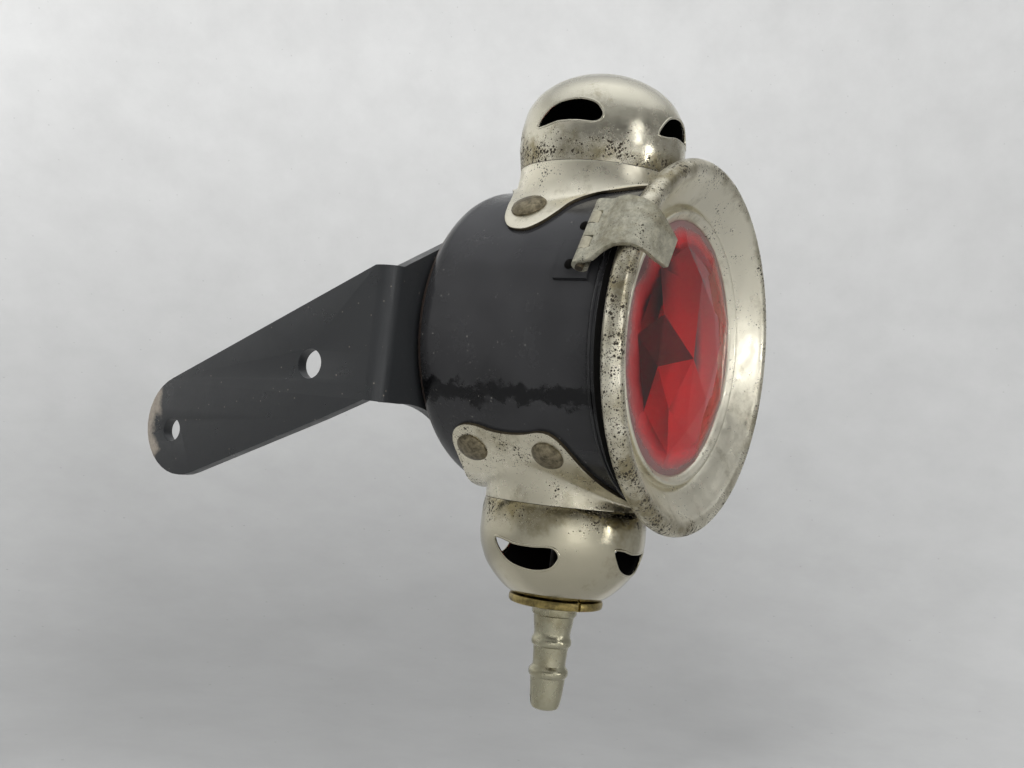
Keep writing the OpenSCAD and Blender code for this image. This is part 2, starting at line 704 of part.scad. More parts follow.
// Six-sided nut inside the cup
module nozzle_nut() {
    color(brass) translate([0, 0, nut_z]) difference() {
        cylinder(r = nut_af / sqrt(3), h = inner_nut_t, $fn = 6);
        translate([0, 0, -over]) cylinder(r = nozzle_shank_r + seam, h = inner_nut_t + 2 * over);
    }
}

// Gas tube from the nozzle up to the burner
module gas_tube() {
    color(brass) difference() {
        translate([0, 0, nozzle_top - 2.5]) cylinder(r = tube_r, h = -tube_top - nozzle_top + 2.5);
        translate([0, 0, nozzle_top - 2.5 - over]) cylinder(r = tube_r - 0.6, h = far);
    }
}

// Brass holder on the tube
module burner_holder() {
    color(brass) translate([0, 0, -tube_top - 3]) difference() {
        union() {
            cylinder(r = holder_r, h = holder_len);
            translate([0, 0, 1]) cylinder(r = holder_r + 0.7, h = 1.6);
        }
        translate([0, 0, -over]) cylinder(r = tube_r + seam, h = 3 + over);
        translate([0, 0, 3 - over]) cylinder(r = 0.8, h = far);
        translate([0, 0, 4]) cylinder(r = tip_r - 0.6 + seam, h = far);
    }
}

// Steatite tip with two jets that meet in a flat flame
module burner_tip() {
    foot = -tube_top - 3 + holder_len;
    color(steatite) {
        translate([0, 0, foot - 2.9]) cylinder(r = tip_r - 0.6, h = 3.9);
        translate([0, 0, foot + seam]) cylinder(r = tip_r, h = 3);
        for (s = [-1, 1]) {
            translate([0, 0, foot + 2]) rotate([0, s * 42, 0]) cylinder(r = 1.3, h = jet_gap / 2 / sin(42));
            translate([s * jet_gap / 2, 0, foot + 2 + jet_gap / 2 / tan(42)]) sphere(1.3);
            translate([s * jet_gap / 2, 0, foot + 2 + jet_gap / 2 / tan(42)]) cylinder(r = 1.1, h = 2.4);
        }
    }
}

// One knuckle of the hinge, counted from its lower end
module knuckle(i, bore_r) {
    z = -hinge_len / 2 + i * (knuckle_len + knuckle_gap);
    translate([pin_out, -pin_fwd, z]) difference() {
        cylinder(r = knuckle_r, h = knuckle_len);
        translate([0, 0, -over]) cylinder(r = bore_r, h = knuckle_len + 2 * over);
    }
}

// Leaf wrapped on the drum, with the two knuckles that carry the pin
module hinge_leaf() {
    color(black_enamel) at_clock(hinge_at) difference() {
        union() {
            intersection() {
                difference() {
                    drum_core(leaf_out_r);
                    drum_core(drum_r + seam);
                }
                translate([0, -pin_fwd, -hinge_len / 2]) cube([far, leaf_w, hinge_len]);
            }
            for (i = [1, 3]) {
                knuckle(i, hinge_pin_r);
                translate([drum_r + leaf_t / 2, -pin_fwd, -hinge_len / 2 + i * (knuckle_len + knuckle_gap)])
                    cube([pin_out - drum_r - leaf_t / 2 - hinge_pin_r - 0.3, knuckle_r, knuckle_len]);
            }
        }
        drum_core(drum_r + seam);
        for (z = [-1, 1]) translate([drum_r, -leaf_rivet_fwd, z * leaf_rivet_gap / 2]) rotate([0, 90, 0])
            cylinder(r = leaf_rivet_r / 2 + seam, h = 8, center = true);
    }
}

module hinge_leaf_rivets() {
    out = leaf_out_r + seam;
    color(black_enamel) at_clock(hinge_at) for (z = [-1, 1])
        rotate([0, -asin(z * leaf_rivet_gap / 2 / out), 0]) translate([out, -leaf_rivet_fwd, 0])
            rotate([0, 90, 0]) rivet(leaf_rivet_r, leaf_t, leaf_rivet_r / 2, leaf_t);
}

// Pin held in the leaf's knuckles
module hinge_pin() {
    color(brass) at_clock(hinge_at) translate([pin_out, -pin_fwd, -hinge_len / 2 - 0.5])
        cylinder(r = hinge_pin_r, h = hinge_len + 1);
}

// The strap's outer line, [radius, forward], from its knuckles over the rim and down before the glass
strap_line = smooth([
    [pin_out + knuckle_r, pin_fwd], [pin_out + 1.1 * knuckle_r, rim_fwd - 3.1 * rim_roll_r],
    [rim_r + 1.3 * strap_t, rim_fwd - 1.33 * rim_roll_r],
    [rim_r + 0.7 * strap_t, rim_fwd + 0.76 * rim_roll_r],
    [rim_r - 1.38 * rim_roll_r, rim_fwd + 1.9 * rim_roll_r],
    [rim_r - 3.67 * rim_roll_r, rim_fwd + 2.57 * rim_roll_r]]);

// Strap of the door's hinge: three knuckles, an arch over the rolled edge, a turned-down end
module hinge_strap() {
    wide = hinge_len / 2;
    edge = [[wide, -pin_fwd + knuckle_r], [0.93 * wide, -pin_fwd - knuckle_r],
        [0.85 * wide, 2.85 * rim_roll_r - rim_fwd], [0.63 * wide, -rim_fwd - 0.76 * rim_roll_r],
        [strap_tip_w / 2, -rim_fwd - 3 * rim_roll_r]];
    color(nickel) at_clock(hinge_at) difference() {
        union() {
            intersection() {
                translate([0, 0, -wide]) linear_extrude(hinge_len)
                    polygon([for (p = sheet(strap_line, strap_t)) [p[0], -p[1]]]);
                // narrows toward its end
                rotate([0, 90, 0]) linear_extrude(far) polygon(concat(edge, [for (p = backward(edge)) [-p[0], p[1]]]));
            }
            for (i = [0, 2, 4]) knuckle(i, hinge_pin_r + pin_gap);
        }
        translate([pin_out, -pin_fwd, -far / 2]) cylinder(r = hinge_pin_r + pin_gap, h = far);
        for (i = [1, 3]) translate([pin_out, -pin_fwd, -wide + i * (knuckle_len + knuckle_gap) - knuckle_gap])
            cylinder(r = 1.45 * knuckle_r, h = knuckle_len + 2 * knuckle_gap);
    }
}

// Pressed door: bead round the glass, dished face, edge rolled back into a round bead
module door_rim() {
    dish_w = rim_mid_r - bead_foot_r;
    dish_rise = rim_fwd - glass_fwd;
    dish = smooth([
        [bead_foot_r - door_wall / 2, glass_fwd + 0.2],
        [bead_foot_r + 0.16 * dish_w, glass_fwd + 0.25 * dish_rise],
        [bead_foot_r + 0.47 * dish_w, glass_fwd + 0.63 * dish_rise],
        [rim_mid_r - 0.21 * dish_w, rim_fwd + 0.3 * dish_rise],
        [rim_mid_r - 0.04 * dish_w, rim_fwd + rim_roll_r - door_wall + 0.08]]);
    color(nickel) about_drum() {
        // rolled edge, hollow inside and closed round
        difference() {
            translate([rim_mid_r, rim_fwd]) circle(rim_roll_r);
            translate([rim_mid_r, rim_fwd]) circle(rim_roll_r - door_wall);
        }
        polygon(sheet(dish, door_wall));
        // bead round the glass
        intersection() {
            difference() {
                translate([bead_mid_r, glass_fwd + bead_out - bead_top_r]) circle(bead_top_r);
                translate([bead_mid_r, glass_fwd + bead_out - bead_top_r]) circle(bead_top_r - door_wall / 2);
            }
            translate([0, glass_fwd + bead_out - bead_top_r]) square([far, far]);
        }
        translate([sight_r, glass_fwd + seam]) square([door_wall / 2, bead_out - bead_top_r - seam + 0.02]);
        translate([bead_foot_r - door_wall / 2, glass_fwd + 0.15 + seam])
            square([door_wall / 2, bead_out - bead_top_r - 0.13 - seam]);
    }
}

// Sleeve soldered behind the door's face that slides over the mouth ring
module door_skirt() {
    front = rim_fwd - 1.45;
    color(dull_nickel) about_drum() {
        translate([skirt_in_r, rim_fwd - skirt_depth]) square([door_wall, front - rim_fwd + skirt_depth]);
        translate([skirt_in_r - 1.5, front - 0.6]) square([skirt_r - skirt_in_r + 1.5, 0.6]);
    }
}

// Cell behind the bead that holds the glass, its packing and its spring ring
module glass_cell() {
    color(brass) about_drum() {
        translate([cell_in_r, cell_back]) square([cell_r - cell_in_r, glass_fwd - cell_back]);
        translate([sight_r + door_wall / 2 + seam, glass_fwd])
            square([cell_r - sight_r - door_wall / 2 - seam, 0.15]);
    }
}

module glass_spring_ring() {
    color(dull_nickel) about_drum() translate([cell_in_r - 0.5 - seam, glass_back - 0.5 - seam]) circle(0.5);
}

// Soft packing between the glass's edge and the cell
module glass_packing() {
    color(packing) about_drum() translate([glass_r + 0.02, glass_back + 0.1])
        square([cell_in_r - glass_r - 0.04, glass_edge_t - 0.2]);
}

// Red pressed glass: flat margin, then a rose of facets up to a low point
module ruby_glass() {
    low = [for (a = ring(facets, facet_turn + 180 / facets)) facet_edge_r * [cos(a), sin(a)]];
    high = [for (a = ring(facets, facet_turn)) facet_r * [cos(a), sin(a)]];
    n = facets;
    sunk = -0.5;
    points = concat(
        [for (p = low) [p[0], p[1], sunk]], [for (p = low) [p[0], p[1], 0]],
        [for (p = high) [p[0], p[1], facet_h]], [[0, -point_down, point_h]]);
    sides = [for (i = [0 : n - 1]) let (k = (i + 1) % n) each [
        [i, n + i, n + k, k],
        [n + i, 2 * n + k, n + k],
        [2 * n + i, 2 * n + k, n + i],
        [2 * n + i, 3 * n, 2 * n + k]]];
    color(ruby) rotate([90, 0, 0]) {
        translate([0, 0, glass_back]) cylinder(r = glass_r, h = glass_edge_t);
        translate([0, 0, glass_seat]) polyhedron(points, concat([[for (i = [0 : n - 1]) i]], sides));
    }
}

module placed() {
    translate(lamp_at) children();
}

placed() drum_body();
placed() mouth_ring();
placed() top_saddle();
placed() chimney_dome();
placed() chimney_baffle();
placed() bottom_saddle();
placed() intake_cup();
placed() air_plate();
placed() top_rivets();
placed() bottom_rivets();
placed() bracket_arm();
placed() back_stiffener();
placed() bracket_rivets();
placed() lock_ring();
placed() hose_nozzle();
placed() nozzle_nut();
placed() gas_tube();
placed() burner_holder();
placed() burner_tip();
placed() hinge_leaf();
placed() hinge_leaf_rivets();
placed() hinge_pin();
placed() hinge_strap();
placed() door_rim();
placed() door_skirt();
placed() glass_cell();
placed() glass_spring_ring();
placed() glass_packing();
placed() ruby_glass();
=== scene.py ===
# An acetylene tail lamp: black enamelled drum, nickelled chimney and air cup, a hinged door with
# a ruby glass, and a cranked strip bracket.
from math import asin, atan2, cos, degrees, pi, radians, sin, sqrt

import bmesh
import bpy
from mathutils import Matrix, Vector


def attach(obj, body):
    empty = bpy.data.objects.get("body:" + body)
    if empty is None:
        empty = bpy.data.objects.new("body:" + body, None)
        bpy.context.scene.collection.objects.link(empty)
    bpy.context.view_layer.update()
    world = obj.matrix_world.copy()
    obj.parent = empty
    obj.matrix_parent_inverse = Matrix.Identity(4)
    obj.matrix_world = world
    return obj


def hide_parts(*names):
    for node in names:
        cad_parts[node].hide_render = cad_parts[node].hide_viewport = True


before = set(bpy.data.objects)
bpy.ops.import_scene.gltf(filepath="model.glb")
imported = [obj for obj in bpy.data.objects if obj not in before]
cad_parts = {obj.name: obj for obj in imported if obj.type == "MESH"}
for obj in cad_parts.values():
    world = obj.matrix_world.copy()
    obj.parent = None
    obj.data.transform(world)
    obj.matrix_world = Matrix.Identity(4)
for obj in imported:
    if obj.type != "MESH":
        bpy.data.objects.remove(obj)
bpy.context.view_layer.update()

# Camera: level with the lamp and off its left front, rolled a little, as the photograph was taken.
# The lamp's centre is where the drum's axis meets the chimney's axis; all pieces are placed from it.
MM = 0.001
LAMP = Vector((36.8, -40, 10.7)) * MM
right = Vector((0.52331, -0.84544, 0.10661))
up = Vector((-0.09917, 0.06384, 0.99302))
back = Vector((-0.84635, -0.53023, -0.05044))
camera = bpy.data.objects.new("camera", bpy.data.cameras.new("camera"))
camera.data.lens = 40
camera.data.clip_start = 0.01
camera.matrix_world = Matrix((right, up, back)).transposed().to_4x4()
camera.location = LAMP + Vector((-207.65, -113.94, -21.85)) * MM
bpy.context.scene.collection.objects.link(camera)
bpy.context.scene.camera = camera
# plain display of colours, so that the ruby stays as saturated as it is in the photograph
bpy.context.scene.view_settings.view_transform = "Standard"


# Floor: a sheet of pale grey card that curves up all round, with faint blotches and specks. Its tone
# Its tone is painted light and shade: it falls off by direction from the lamp, fitted to the photograph's
# background and reflections.
def hexed(code):
    """Linear colour from an sRGB hex value."""
    parts = [int(code[i:i + 2], 16) / 255 for i in (1, 3, 5)]
    return [c / 12.92 if c <= 0.04045 else ((c + 0.055) / 1.055) ** 2.4 for c in parts] + [1]


def put(tree, kind, sockets=None, **settings):
    """Adds a node with its settings; each socket gets a value or a link."""
    made = tree.nodes.new("ShaderNode" + kind)
    for name, value in settings.items():
        setattr(made, name, value)
    for name, value in (sockets or {}).items():
        if isinstance(value, bpy.types.NodeSocket):
            tree.links.new(value, made.inputs[name])
        else:
            made.inputs[name].default_value = value
    return made


def surface(name, colour, roughness, **more):
    """A new material with a plain Principled shader, and its tree, shader and object coordinates."""
    made = bpy.data.materials.new(name)
    made.use_nodes = True
    tree = made.node_tree
    shader = tree.nodes["Principled BSDF"]
    shader.inputs["Base Color"].default_value = hexed(colour)
    shader.inputs["Roughness"].default_value = roughness
    for socket, value in more.items():
        shader.inputs[socket.replace("_", " ")].default_value = value
    return made, tree, shader, put(tree, "TexCoord").outputs["Object"]


def smooth_but_sharp(bm, sharp):
    """Shades the faces smooth, but for the edges that bend by more than sharp degrees."""
    for face in bm.faces:
        face.smooth = True
    for edge in bm.edges:
        edge.smooth = edge.calc_face_angle(0) < radians(sharp)


def piece_from(bm, name, *materials, sharp=32):
    """The finished piece: seams merged, faces outward, smooth but for its sharp edges."""
    bmesh.ops.remove_doubles(bm, verts=bm.verts, dist=2e-6)
    bmesh.ops.recalc_face_normals(bm, faces=bm.faces)
    smooth_but_sharp(bm, sharp)
    mesh = bpy.data.meshes.new(name)
    bm.to_mesh(mesh)
    bm.free()
    for material in materials:
        mesh.materials.append(material)
    made = bpy.data.objects.new(name, mesh)
    bpy.context.scene.collection.objects.link(made)
    return made


def line_of(bm, points, closed=False):
    """A chain of edges through points given in millimetres from the lamp's centre."""
    verts = [bm.verts.new(LAMP + Vector(p) * MM) for p in points]
    pairs = list(zip(verts, verts[1:])) + ([(verts[-1], verts[0])] if closed else [])
    return verts, [bm.edges.new(pair) for pair in pairs]


def turn(bm, points, axis, closed=False, steps=160):
    """Spins a chain of edges once round an axis through the lamp's centre."""
    verts, edges = line_of(bm, points, closed)
    bmesh.ops.spin(bm, geom=verts + edges, cent=LAMP, axis=axis, dvec=(0, 0, 0), angle=2 * pi,
                   steps=steps, use_merge=True)


def arc(centre, radius, start, stop, steps):
    """Points of an arc in a plane, by its angles in degrees."""
    turns = [radians(start + (stop - start) * i / steps) for i in range(steps + 1)]
    return [(centre[0] + radius * cos(a), centre[1] + radius * sin(a)) for a in turns]


def curved(points, steps=4, closed=False):
    """A smooth line through points, steps to a span."""
    spots = [Vector(p) for p in points]
    count = len(spots)
    spans = count if closed else count - 1
    spot = (lambda i: spots[i % count]) if closed else (lambda i: spots[max(0, min(i, count - 1))])
    line = []
    for i in range(spans):
        a, b, c, d = spot(i - 1), spot(i), spot(i + 1), spot(i + 2)
        for k in range(steps):
            t = k / steps
            line.append(0.5 * (2 * b + (c - a) * t + (2 * a - 5 * b + 4 * c - d) * t ** 2
                               + (3 * b - a - 3 * c + d) * t ** 3))
    return line if closed else line + [spots[-1]]


card, tree, shader, at = surface("matte_grey_card", "#c8c8c7", 0.85, Specular_IOR_Level=0.2)
# blotches of 55 mm and specks of 2 mm
blotch = put(tree, "TexNoise", {"Vector": at, "Scale": 18, "Detail": 8, "Roughness": 0.65})
speck = put(tree, "TexVoronoi", {"Vector": at, "Scale": 60, "Randomness": 1})
speck_mask = put(tree, "MapRange", {"Value": speck.outputs["Distance"],
                                    "From Min": 0.035, "From Max": 0.06, "To Min": 0.8, "To Max": 1})
shade = put(tree, "MapRange", {"Value": blotch.outputs["Fac"],
                               "From Min": 0.3, "From Max": 0.7, "To Min": 0.94, "To Max": 1.03})
dusty = put(tree, "Math", {0: speck_mask.outputs["Result"], 1: shade.outputs["Result"]}, operation="MULTIPLY")
# painted light and shade: the card is painted palest behind the lamp and above it, and painted darker on the
# photographer's side
from_lamp = put(tree, "VectorMath", {0: at, 1: LAMP}, operation="SUBTRACT")
way = put(tree, "VectorMath", {0: from_lamp.outputs[0]}, operation="NORMALIZE")
toward = put(tree, "VectorMath", {0: way.outputs[0], 1: back}, operation="DOT_PRODUCT")
behind = put(tree, "MapRange", {"Value": toward.outputs["Value"],
                                "From Min": -0.88, "From Max": -0.7, "To Min": 0.88, "To Max": 1.15})
painted_shade_left = put(tree, "MapRange", {"Value": toward.outputs["Value"],
                                   "From Min": -0.4, "From Max": 0.45, "To Min": 1, "To Max": 0.65})
# painted shade: darkest straight toward the camera
body = put(tree, "MapRange", {"Value": toward.outputs["Value"],
                              "From Min": 0.42, "From Max": 0.8, "To Min": 1, "To Max": 0.3},
           interpolation_type="SMOOTHSTEP")
ahead = put(tree, "VectorMath", {0: way.outputs[0], 1: back * 0.8 + right * 0.6}, operation="DOT_PRODUCT")
painted_shade_right = put(tree, "MapRange", {"Value": ahead.outputs["Value"],
                                    "From Min": -0.5, "From Max": 0.2, "To Min": 1, "To Max": 0.24},
                 interpolation_type="SMOOTHSTEP")
painted_shade = put(tree, "Math", {0: painted_shade_left.outputs["Result"], 1: painted_shade_right.outputs["Result"]},
           operation="MULTIPLY")
painted_shade = put(tree, "Math", {0: painted_shade.outputs[0], 1: body.outputs["Result"]}, operation="MULTIPLY")
painted_shade = put(tree, "Math", {0: painted_shade.outputs[0], 1: behind.outputs["Result"]}, operation="MULTIPLY")
rise = put(tree, "VectorMath", {0: way.outputs[0], 1: up}, operation="DOT_PRODUCT")
overhead = put(tree, "MapRange", {"Value": rise.outputs["Value"], "From Min": 0.35, "From Max": 0.6})
painted_shade = put(tree, "Mix", {"Factor": overhead.outputs["Result"], 2: painted_shade.outputs[0], 3: 1.0}, data_type="FLOAT")
# painted light: paler with height, and a little paler again straight below the lamp
risen = put(tree, "MapRange", {"Value": rise.outputs["Value"],
                               "From Min": -0.47, "From Max": 0.305, "To Max": 0.871})
eased = put(tree, "Math", {0: risen.outputs["Result"], 1: 1.5}, operation="POWER")
painted_light_fall = put(tree, "Math", {0: eased.outputs[0], 1: 1.1, 2: 0.4}, operation="MULTIPLY_ADD")
under = put(tree, "MapRange", {"Value": rise.outputs["Value"],
                               "From Min": -0.42, "From Max": -0.6, "To Min": 0, "To Max": 0.14})
painted_light_fall = put(tree, "Math", {0: painted_light_fall.outputs[0], 1: under.outputs["Result"]}, operation="ADD")
# painted light: to the right of the lamp the tone is evened out toward full
aside = put(tree, "VectorMath", {0: way.outputs[0], 1: right}, operation="DOT_PRODUCT")
even = put(tree, "MapRange", {"Value": aside.outputs["Value"],
                              "From Min": 0.1, "From Max": 0.75, "To Min": 0, "To Max": 0.9})
evened = put(tree, "Mix", {"Factor": even.outputs["Result"], 2: painted_light_fall.outputs[0], 3: 1.0}, data_type="FLOAT")
level = put(tree, "Math", {0: painted_shade.outputs[0], 1: evened.outputs[0]}, operation="MULTIPLY")
# it stays a pale card from every side, so its painted shade takes its tone no lower than this part of the
# full one
LEAST_PAINTED_LIGHT = 0.45
level = put(tree, "Math", {0: level.outputs[0], 1: LEAST_PAINTED_LIGHT}, operation="MAXIMUM")
level = put(tree, "Math", {0: level.outputs[0], 1: dusty.outputs[0]}, operation="MULTIPLY")
tone = put(tree, "Mix", {"Factor": 1.0, 6: hexed("#c8c8c7"), 7: level.outputs[0]},
           data_type="RGBA", blend_type="MULTIPLY")
tree.links.new(tone.outputs[2], shader.inputs["Base Color"])

FLOOR_DROP, FLAT_R, SWEEP_R, WALL_TOP = 190, 500, 700, 1100
bm = bmesh.new()
sweep = [(0, 0, -FLOOR_DROP), (FLAT_R, 0, -FLOOR_DROP)]
for a in range(6, 91, 6):
    climb = SWEEP_R * (1 - cos(radians(a)))
    sweep.append((FLAT_R + SWEEP_R * sin(radians(a)), 0, -FLOOR_DROP + climb))
turn(bm, sweep + [(FLAT_R + SWEEP_R, 0, WALL_TOP)], (0, 0, 1), steps=96)
floor = piece_from(bm, "floor", card, sharp=180)
floor.data.flip_normals()

# Light: a pale ceiling, dimmer toward the photographer and beyond the lamp, two small windows that
# glint in the nickel, and two soft lights, from the left front and from overhead, that are kept out
# of its reflections. Places are in millimetres from the lamp's centre, sizes in metres.
world = bpy.data.worlds.new("room")
bpy.context.scene.world = world
world.use_nodes = True
tree = world.node_tree
sky = put(tree, "TexCoord").outputs["Generated"]
way = put(tree, "SeparateXYZ", {"Vector": sky})
cubed = put(tree, "Math", {0: way.outputs["Z"], 1: 3}, operation="POWER")
height = put(tree, "Math", {0: cubed.outputs[0], 1: 0.9, 2: 0.7}, operation="MULTIPLY_ADD")
toward = put(tree, "VectorMath", {0: sky, 1: back}, operation="DOT_PRODUCT")
dim = put(tree, "MapRange", {"Value": toward.outputs["Value"],
                             "From Min": -0.2, "From Max": 0.8, "To Min": 1, "To Max": 0.8},
          interpolation_type="SMOOTHSTEP")
beyond = put(tree, "MapRange", {"Value": toward.outputs["Value"],
                                "From Min": -0.8, "From Max": -0.2, "To Min": 0.6, "To Max": 1})
dim = put(tree, "Math", {0: dim.outputs["Result"], 1: beyond.outputs["Result"]}, operation="MULTIPLY")
lit = put(tree, "Math", {0: height.outputs[0], 1: dim.outputs[0]}, operation="MULTIPLY")
tree.links.new(lit.outputs[0], tree.nodes["Background"].inputs["Strength"])
tree.nodes["Background"].inputs["Color"].default_value = hexed("#e8eaed")
WINDOW_TALL = 1.7
for name, place, size, power, mirrored in (
        ("window", (-240, -860, 270), 0.22, 0.7, True),
        ("low_window", (50, -900, 20), 0.1, 0.6, True),
        ("room_light", (-640, -640, 240), 0.6, 18.0, False),
        ("overhead", (-250, 80, 950), 1.0, 8.0, False)):
    light = bpy.data.objects.new(name, bpy.data.lights.new(name, "AREA"))
    light.data.shape = "RECTANGLE" if mirrored else "DISK"
    light.data.size = size
    if mirrored:
        light.data.size_y = WINDOW_TALL * size
    light.data.energy = power
    light.visible_glossy = mirrored
    light.location = LAMP + Vector(place) * MM
    light.rotation_euler = (LAMP - light.location).to_track_quat("-Z", "Y").to_euler()
    bpy.context.scene.collection.objects.link(light)

# Drum: deep-drawn steel, its back corner rounded, stoved with glossy black enamel. The enamel
# pools in soft waves, has rubbed patches and dust in it; the inside is pale tin, its back browned by smoke
# and painted shade.
def enamel(name, colour, film, gloss, rub_scale):
    """Black stove enamel: glossy, with orange peel, a grey film wiped off in streaks, and fine dust."""
    made, tree, shader, at = surface(name, colour, gloss, Specular_IOR_Level=0.28)
    # orange peel about 1.2 mm across, and long waves of 12 mm
    peel = put(tree, "TexNoise", {"Vector": at, "Scale": 850, "Detail": 2})
    wave = put(tree, "TexNoise", {"Vector": at, "Scale": 85, "Detail": 2, "Roughness": 0.4})
    soft = put(tree, "Bump", {"Height": wave.outputs["Fac"], "Strength": 0.3, "Distance": 0.0005})
    skin = put(tree, "Bump", {"Height": peel.outputs["Fac"], "Strength": 0.15, "Distance": 0.0001,
                              "Normal": soft.outputs["Normal"]})
    tree.links.new(skin.outputs["Normal"], shader.inputs["Normal"])
    # rubbed patches some 8 mm long
    rub = put(tree, "TexNoise", {"Vector": at, "Scale": rub_scale, "Detail": 9, "Roughness": 0.7})
    rubbed = put(tree, "MapRange", {"Value": rub.outputs["Fac"],
                                    "From Min": 0.42, "From Max": 0.68,
                                    "To Min": gloss, "To Max": gloss + 0.25})
    tree.links.new(rubbed.outputs["Result"], shader.inputs["Roughness"])
    # the film is thick on the flanks and wiped off in a ragged streak along the drum, 13 mm below its axis
    place = put(tree, "SeparateXYZ", {"Vector": at})
    torn = put(tree, "TexNoise", {"Vector": at, "Scale": 260, "Detail": 6, "Roughness": 0.65})
    ragged = put(tree, "Math", {0: torn.outputs["Fac"], 1: 0.009, 2: place.outputs["Z"]},
                 operation="MULTIPLY_ADD")
    below = put(tree, "Math", {0: ragged.outputs[0], 1: 0.0022}, operation="SUBTRACT")
    streak = put(tree, "Math", {0: below.outputs[0]}, operation="ABSOLUTE")
    wiped = put(tree, "MapRange", {"Value": streak.outputs[0],
                                   "From Min": 0.0012, "From Max": 0.0021, "To Min": 0, "To Max": 1})
    thin = put(tree, "MapRange", {"Value": wave.outputs["Fac"],
                                  "From Min": 0.3, "From Max": 0.75, "To Min": 0.55, "To Max": 1})
    cover = put(tree, "Math", {0: wiped.outputs["Result"], 1: thin.outputs["Result"]}, operation="MULTIPLY")
    filmed = put(tree, "Mix", {"Factor": cover.outputs[0], 6: hexed(colour), 7: hexed(film)},
                 data_type="RGBA")
    # grey dust specks of 0.3 mm
    dust = put(tree, "TexVoronoi", {"Vector": at, "Scale": 700, "Randomness": 1})
    specks = put(tree, "MapRange", {"Value": dust.outputs["Distance"],
                                    "From Min": 0.05, "From Max": 0.14, "To Min": 0.5, "To Max": 0})
    where = put(tree, "MapRange", {"Value": rub.outputs["Fac"], "From Min": 0.5, "From Max": 0.62})
    shown = put(tree, "Math", {0: specks.outputs["Result"], 1: where.outputs["Result"]}, operation="MULTIPLY")
    mixed = put(tree, "Mix", {"Factor": shown.outputs[0], 6: filmed.outputs[2], 7: hexed("#8d8a84")},
                data_type="RGBA")
    tree.links.new(mixed.outputs[2], shader.inputs["Base Color"])
    return made


black_enamel = enamel("black_stove_enamel", "#040405", "#252526", 0.12, 120)
tin, tree, shader, at = surface("pale_tin_lining", "#ece8de", 0.5, Metallic=0.1)
spangle = put(tree, "TexNoise", {"Vector": at, "Scale": 260, "Detail": 5})
dulled = put(tree, "MapRange", {"Value": spangle.outputs["Fac"],
                                "From Min": 0.3, "From Max": 0.7, "To Min": 0.3, "To Max": 0.55})
tree.links.new(dulled.outputs["Result"], shader.inputs["Roughness"])
# smoke has browned it, with painted shade darkening it, from 13 mm behind the mouth on
DRUM_R, DRUM_BACK, DRUM_FRONT, CORNER, DRUM_WALL = 31.4, -22, 21, 5.7, 0.9
depth = put(tree, "SeparateXYZ", {"Vector": at})
smoke_and_shade_start = LAMP.y + (13 - DRUM_FRONT) * MM
smoke_and_painted_shade = put(tree, "MapRange", {"Value": depth.outputs["Y"],
                                "From Min": smoke_and_shade_start, "From Max": smoke_and_shade_start + 2.5 * MM})
lining = put(tree, "Mix", {"Factor": smoke_and_painted_shade.outputs["Result"], 6: hexed("#ece8de"), 7: hexed("#352b26")},
             data_type="RGBA")
tree.links.new(lining.outputs[2], shader.inputs["Base Color"])
soot, tree, shader, at = surface("flame_soot", "#0b0a09", 0.95, Specular_IOR_Level=0.1)
flakes = put(tree, "TexNoise", {"Vector": at, "Scale": 1400, "Detail": 4})
flaky = put(tree, "Bump", {"Height": flakes.outputs["Fac"], "Strength": 0.4, "Distance": 0.0001})
tree.links.new(flaky.outputs["Normal"], shader.inputs["Normal"])


def around_drum(profile):
    """Points of a profile given as radius and distance forward, in the plane of +X."""
    return [(r, -forward, 0) for r, forward in profile]


def settled_mesh(piece):
    """A new mesh of the piece as its modifiers or its curve settings leave it."""
    bpy.context.view_layer.update()
    return bpy.data.meshes.new_from_object(piece.evaluated_get(bpy.context.evaluated_depsgraph_get()))


def cut_from(piece, cutters):
    """Cuts closed cutters out of a piece for good, and marks its sharp edges again."""
    mesh = bpy.data.meshes.new("cutter")
    bmesh.ops.recalc_face_normals(cutters, faces=cutters.faces)
    cutters.to_mesh(mesh)
    cutters.free()
    tool = bpy.data.objects.new("cutter", mesh)
    bpy.context.scene.collection.objects.link(tool)
    modifier = piece.modifiers.new("cut", "BOOLEAN")
    modifier.operation, modifier.solver, modifier.object = "DIFFERENCE", "EXACT", tool
    cut = settled_mesh(piece)
    piece.modifiers.clear()
    old, piece.data = piece.data, cut
    bpy.data.objects.remove(tool)
    bpy.data.meshes.remove(old)
    bm = bmesh.new()
    bm.from_mesh(cut)
    bmesh.ops.dissolve_degenerate(bm, edges=bm.edges, dist=1e-6)
    smooth_but_sharp(bm, 32)
    bm.to_mesh(cut)
    bm.free()


def rod(bm, centre, axis, radius, length, segments):
    """A closed cylinder about a point, in millimetres from the lamp's centre."""
    turned = Vector((0, 0, 1)).rotation_difference(Vector(axis)).to_matrix().to_4x4()
    bmesh.ops.create_cone(bm, cap_ends=True, segments=segments, radius1=radius * MM, radius2=radius * MM,
                          depth=length * MM, matrix=Matrix.Translation(LAMP + Vector(centre) * MM) @ turned)


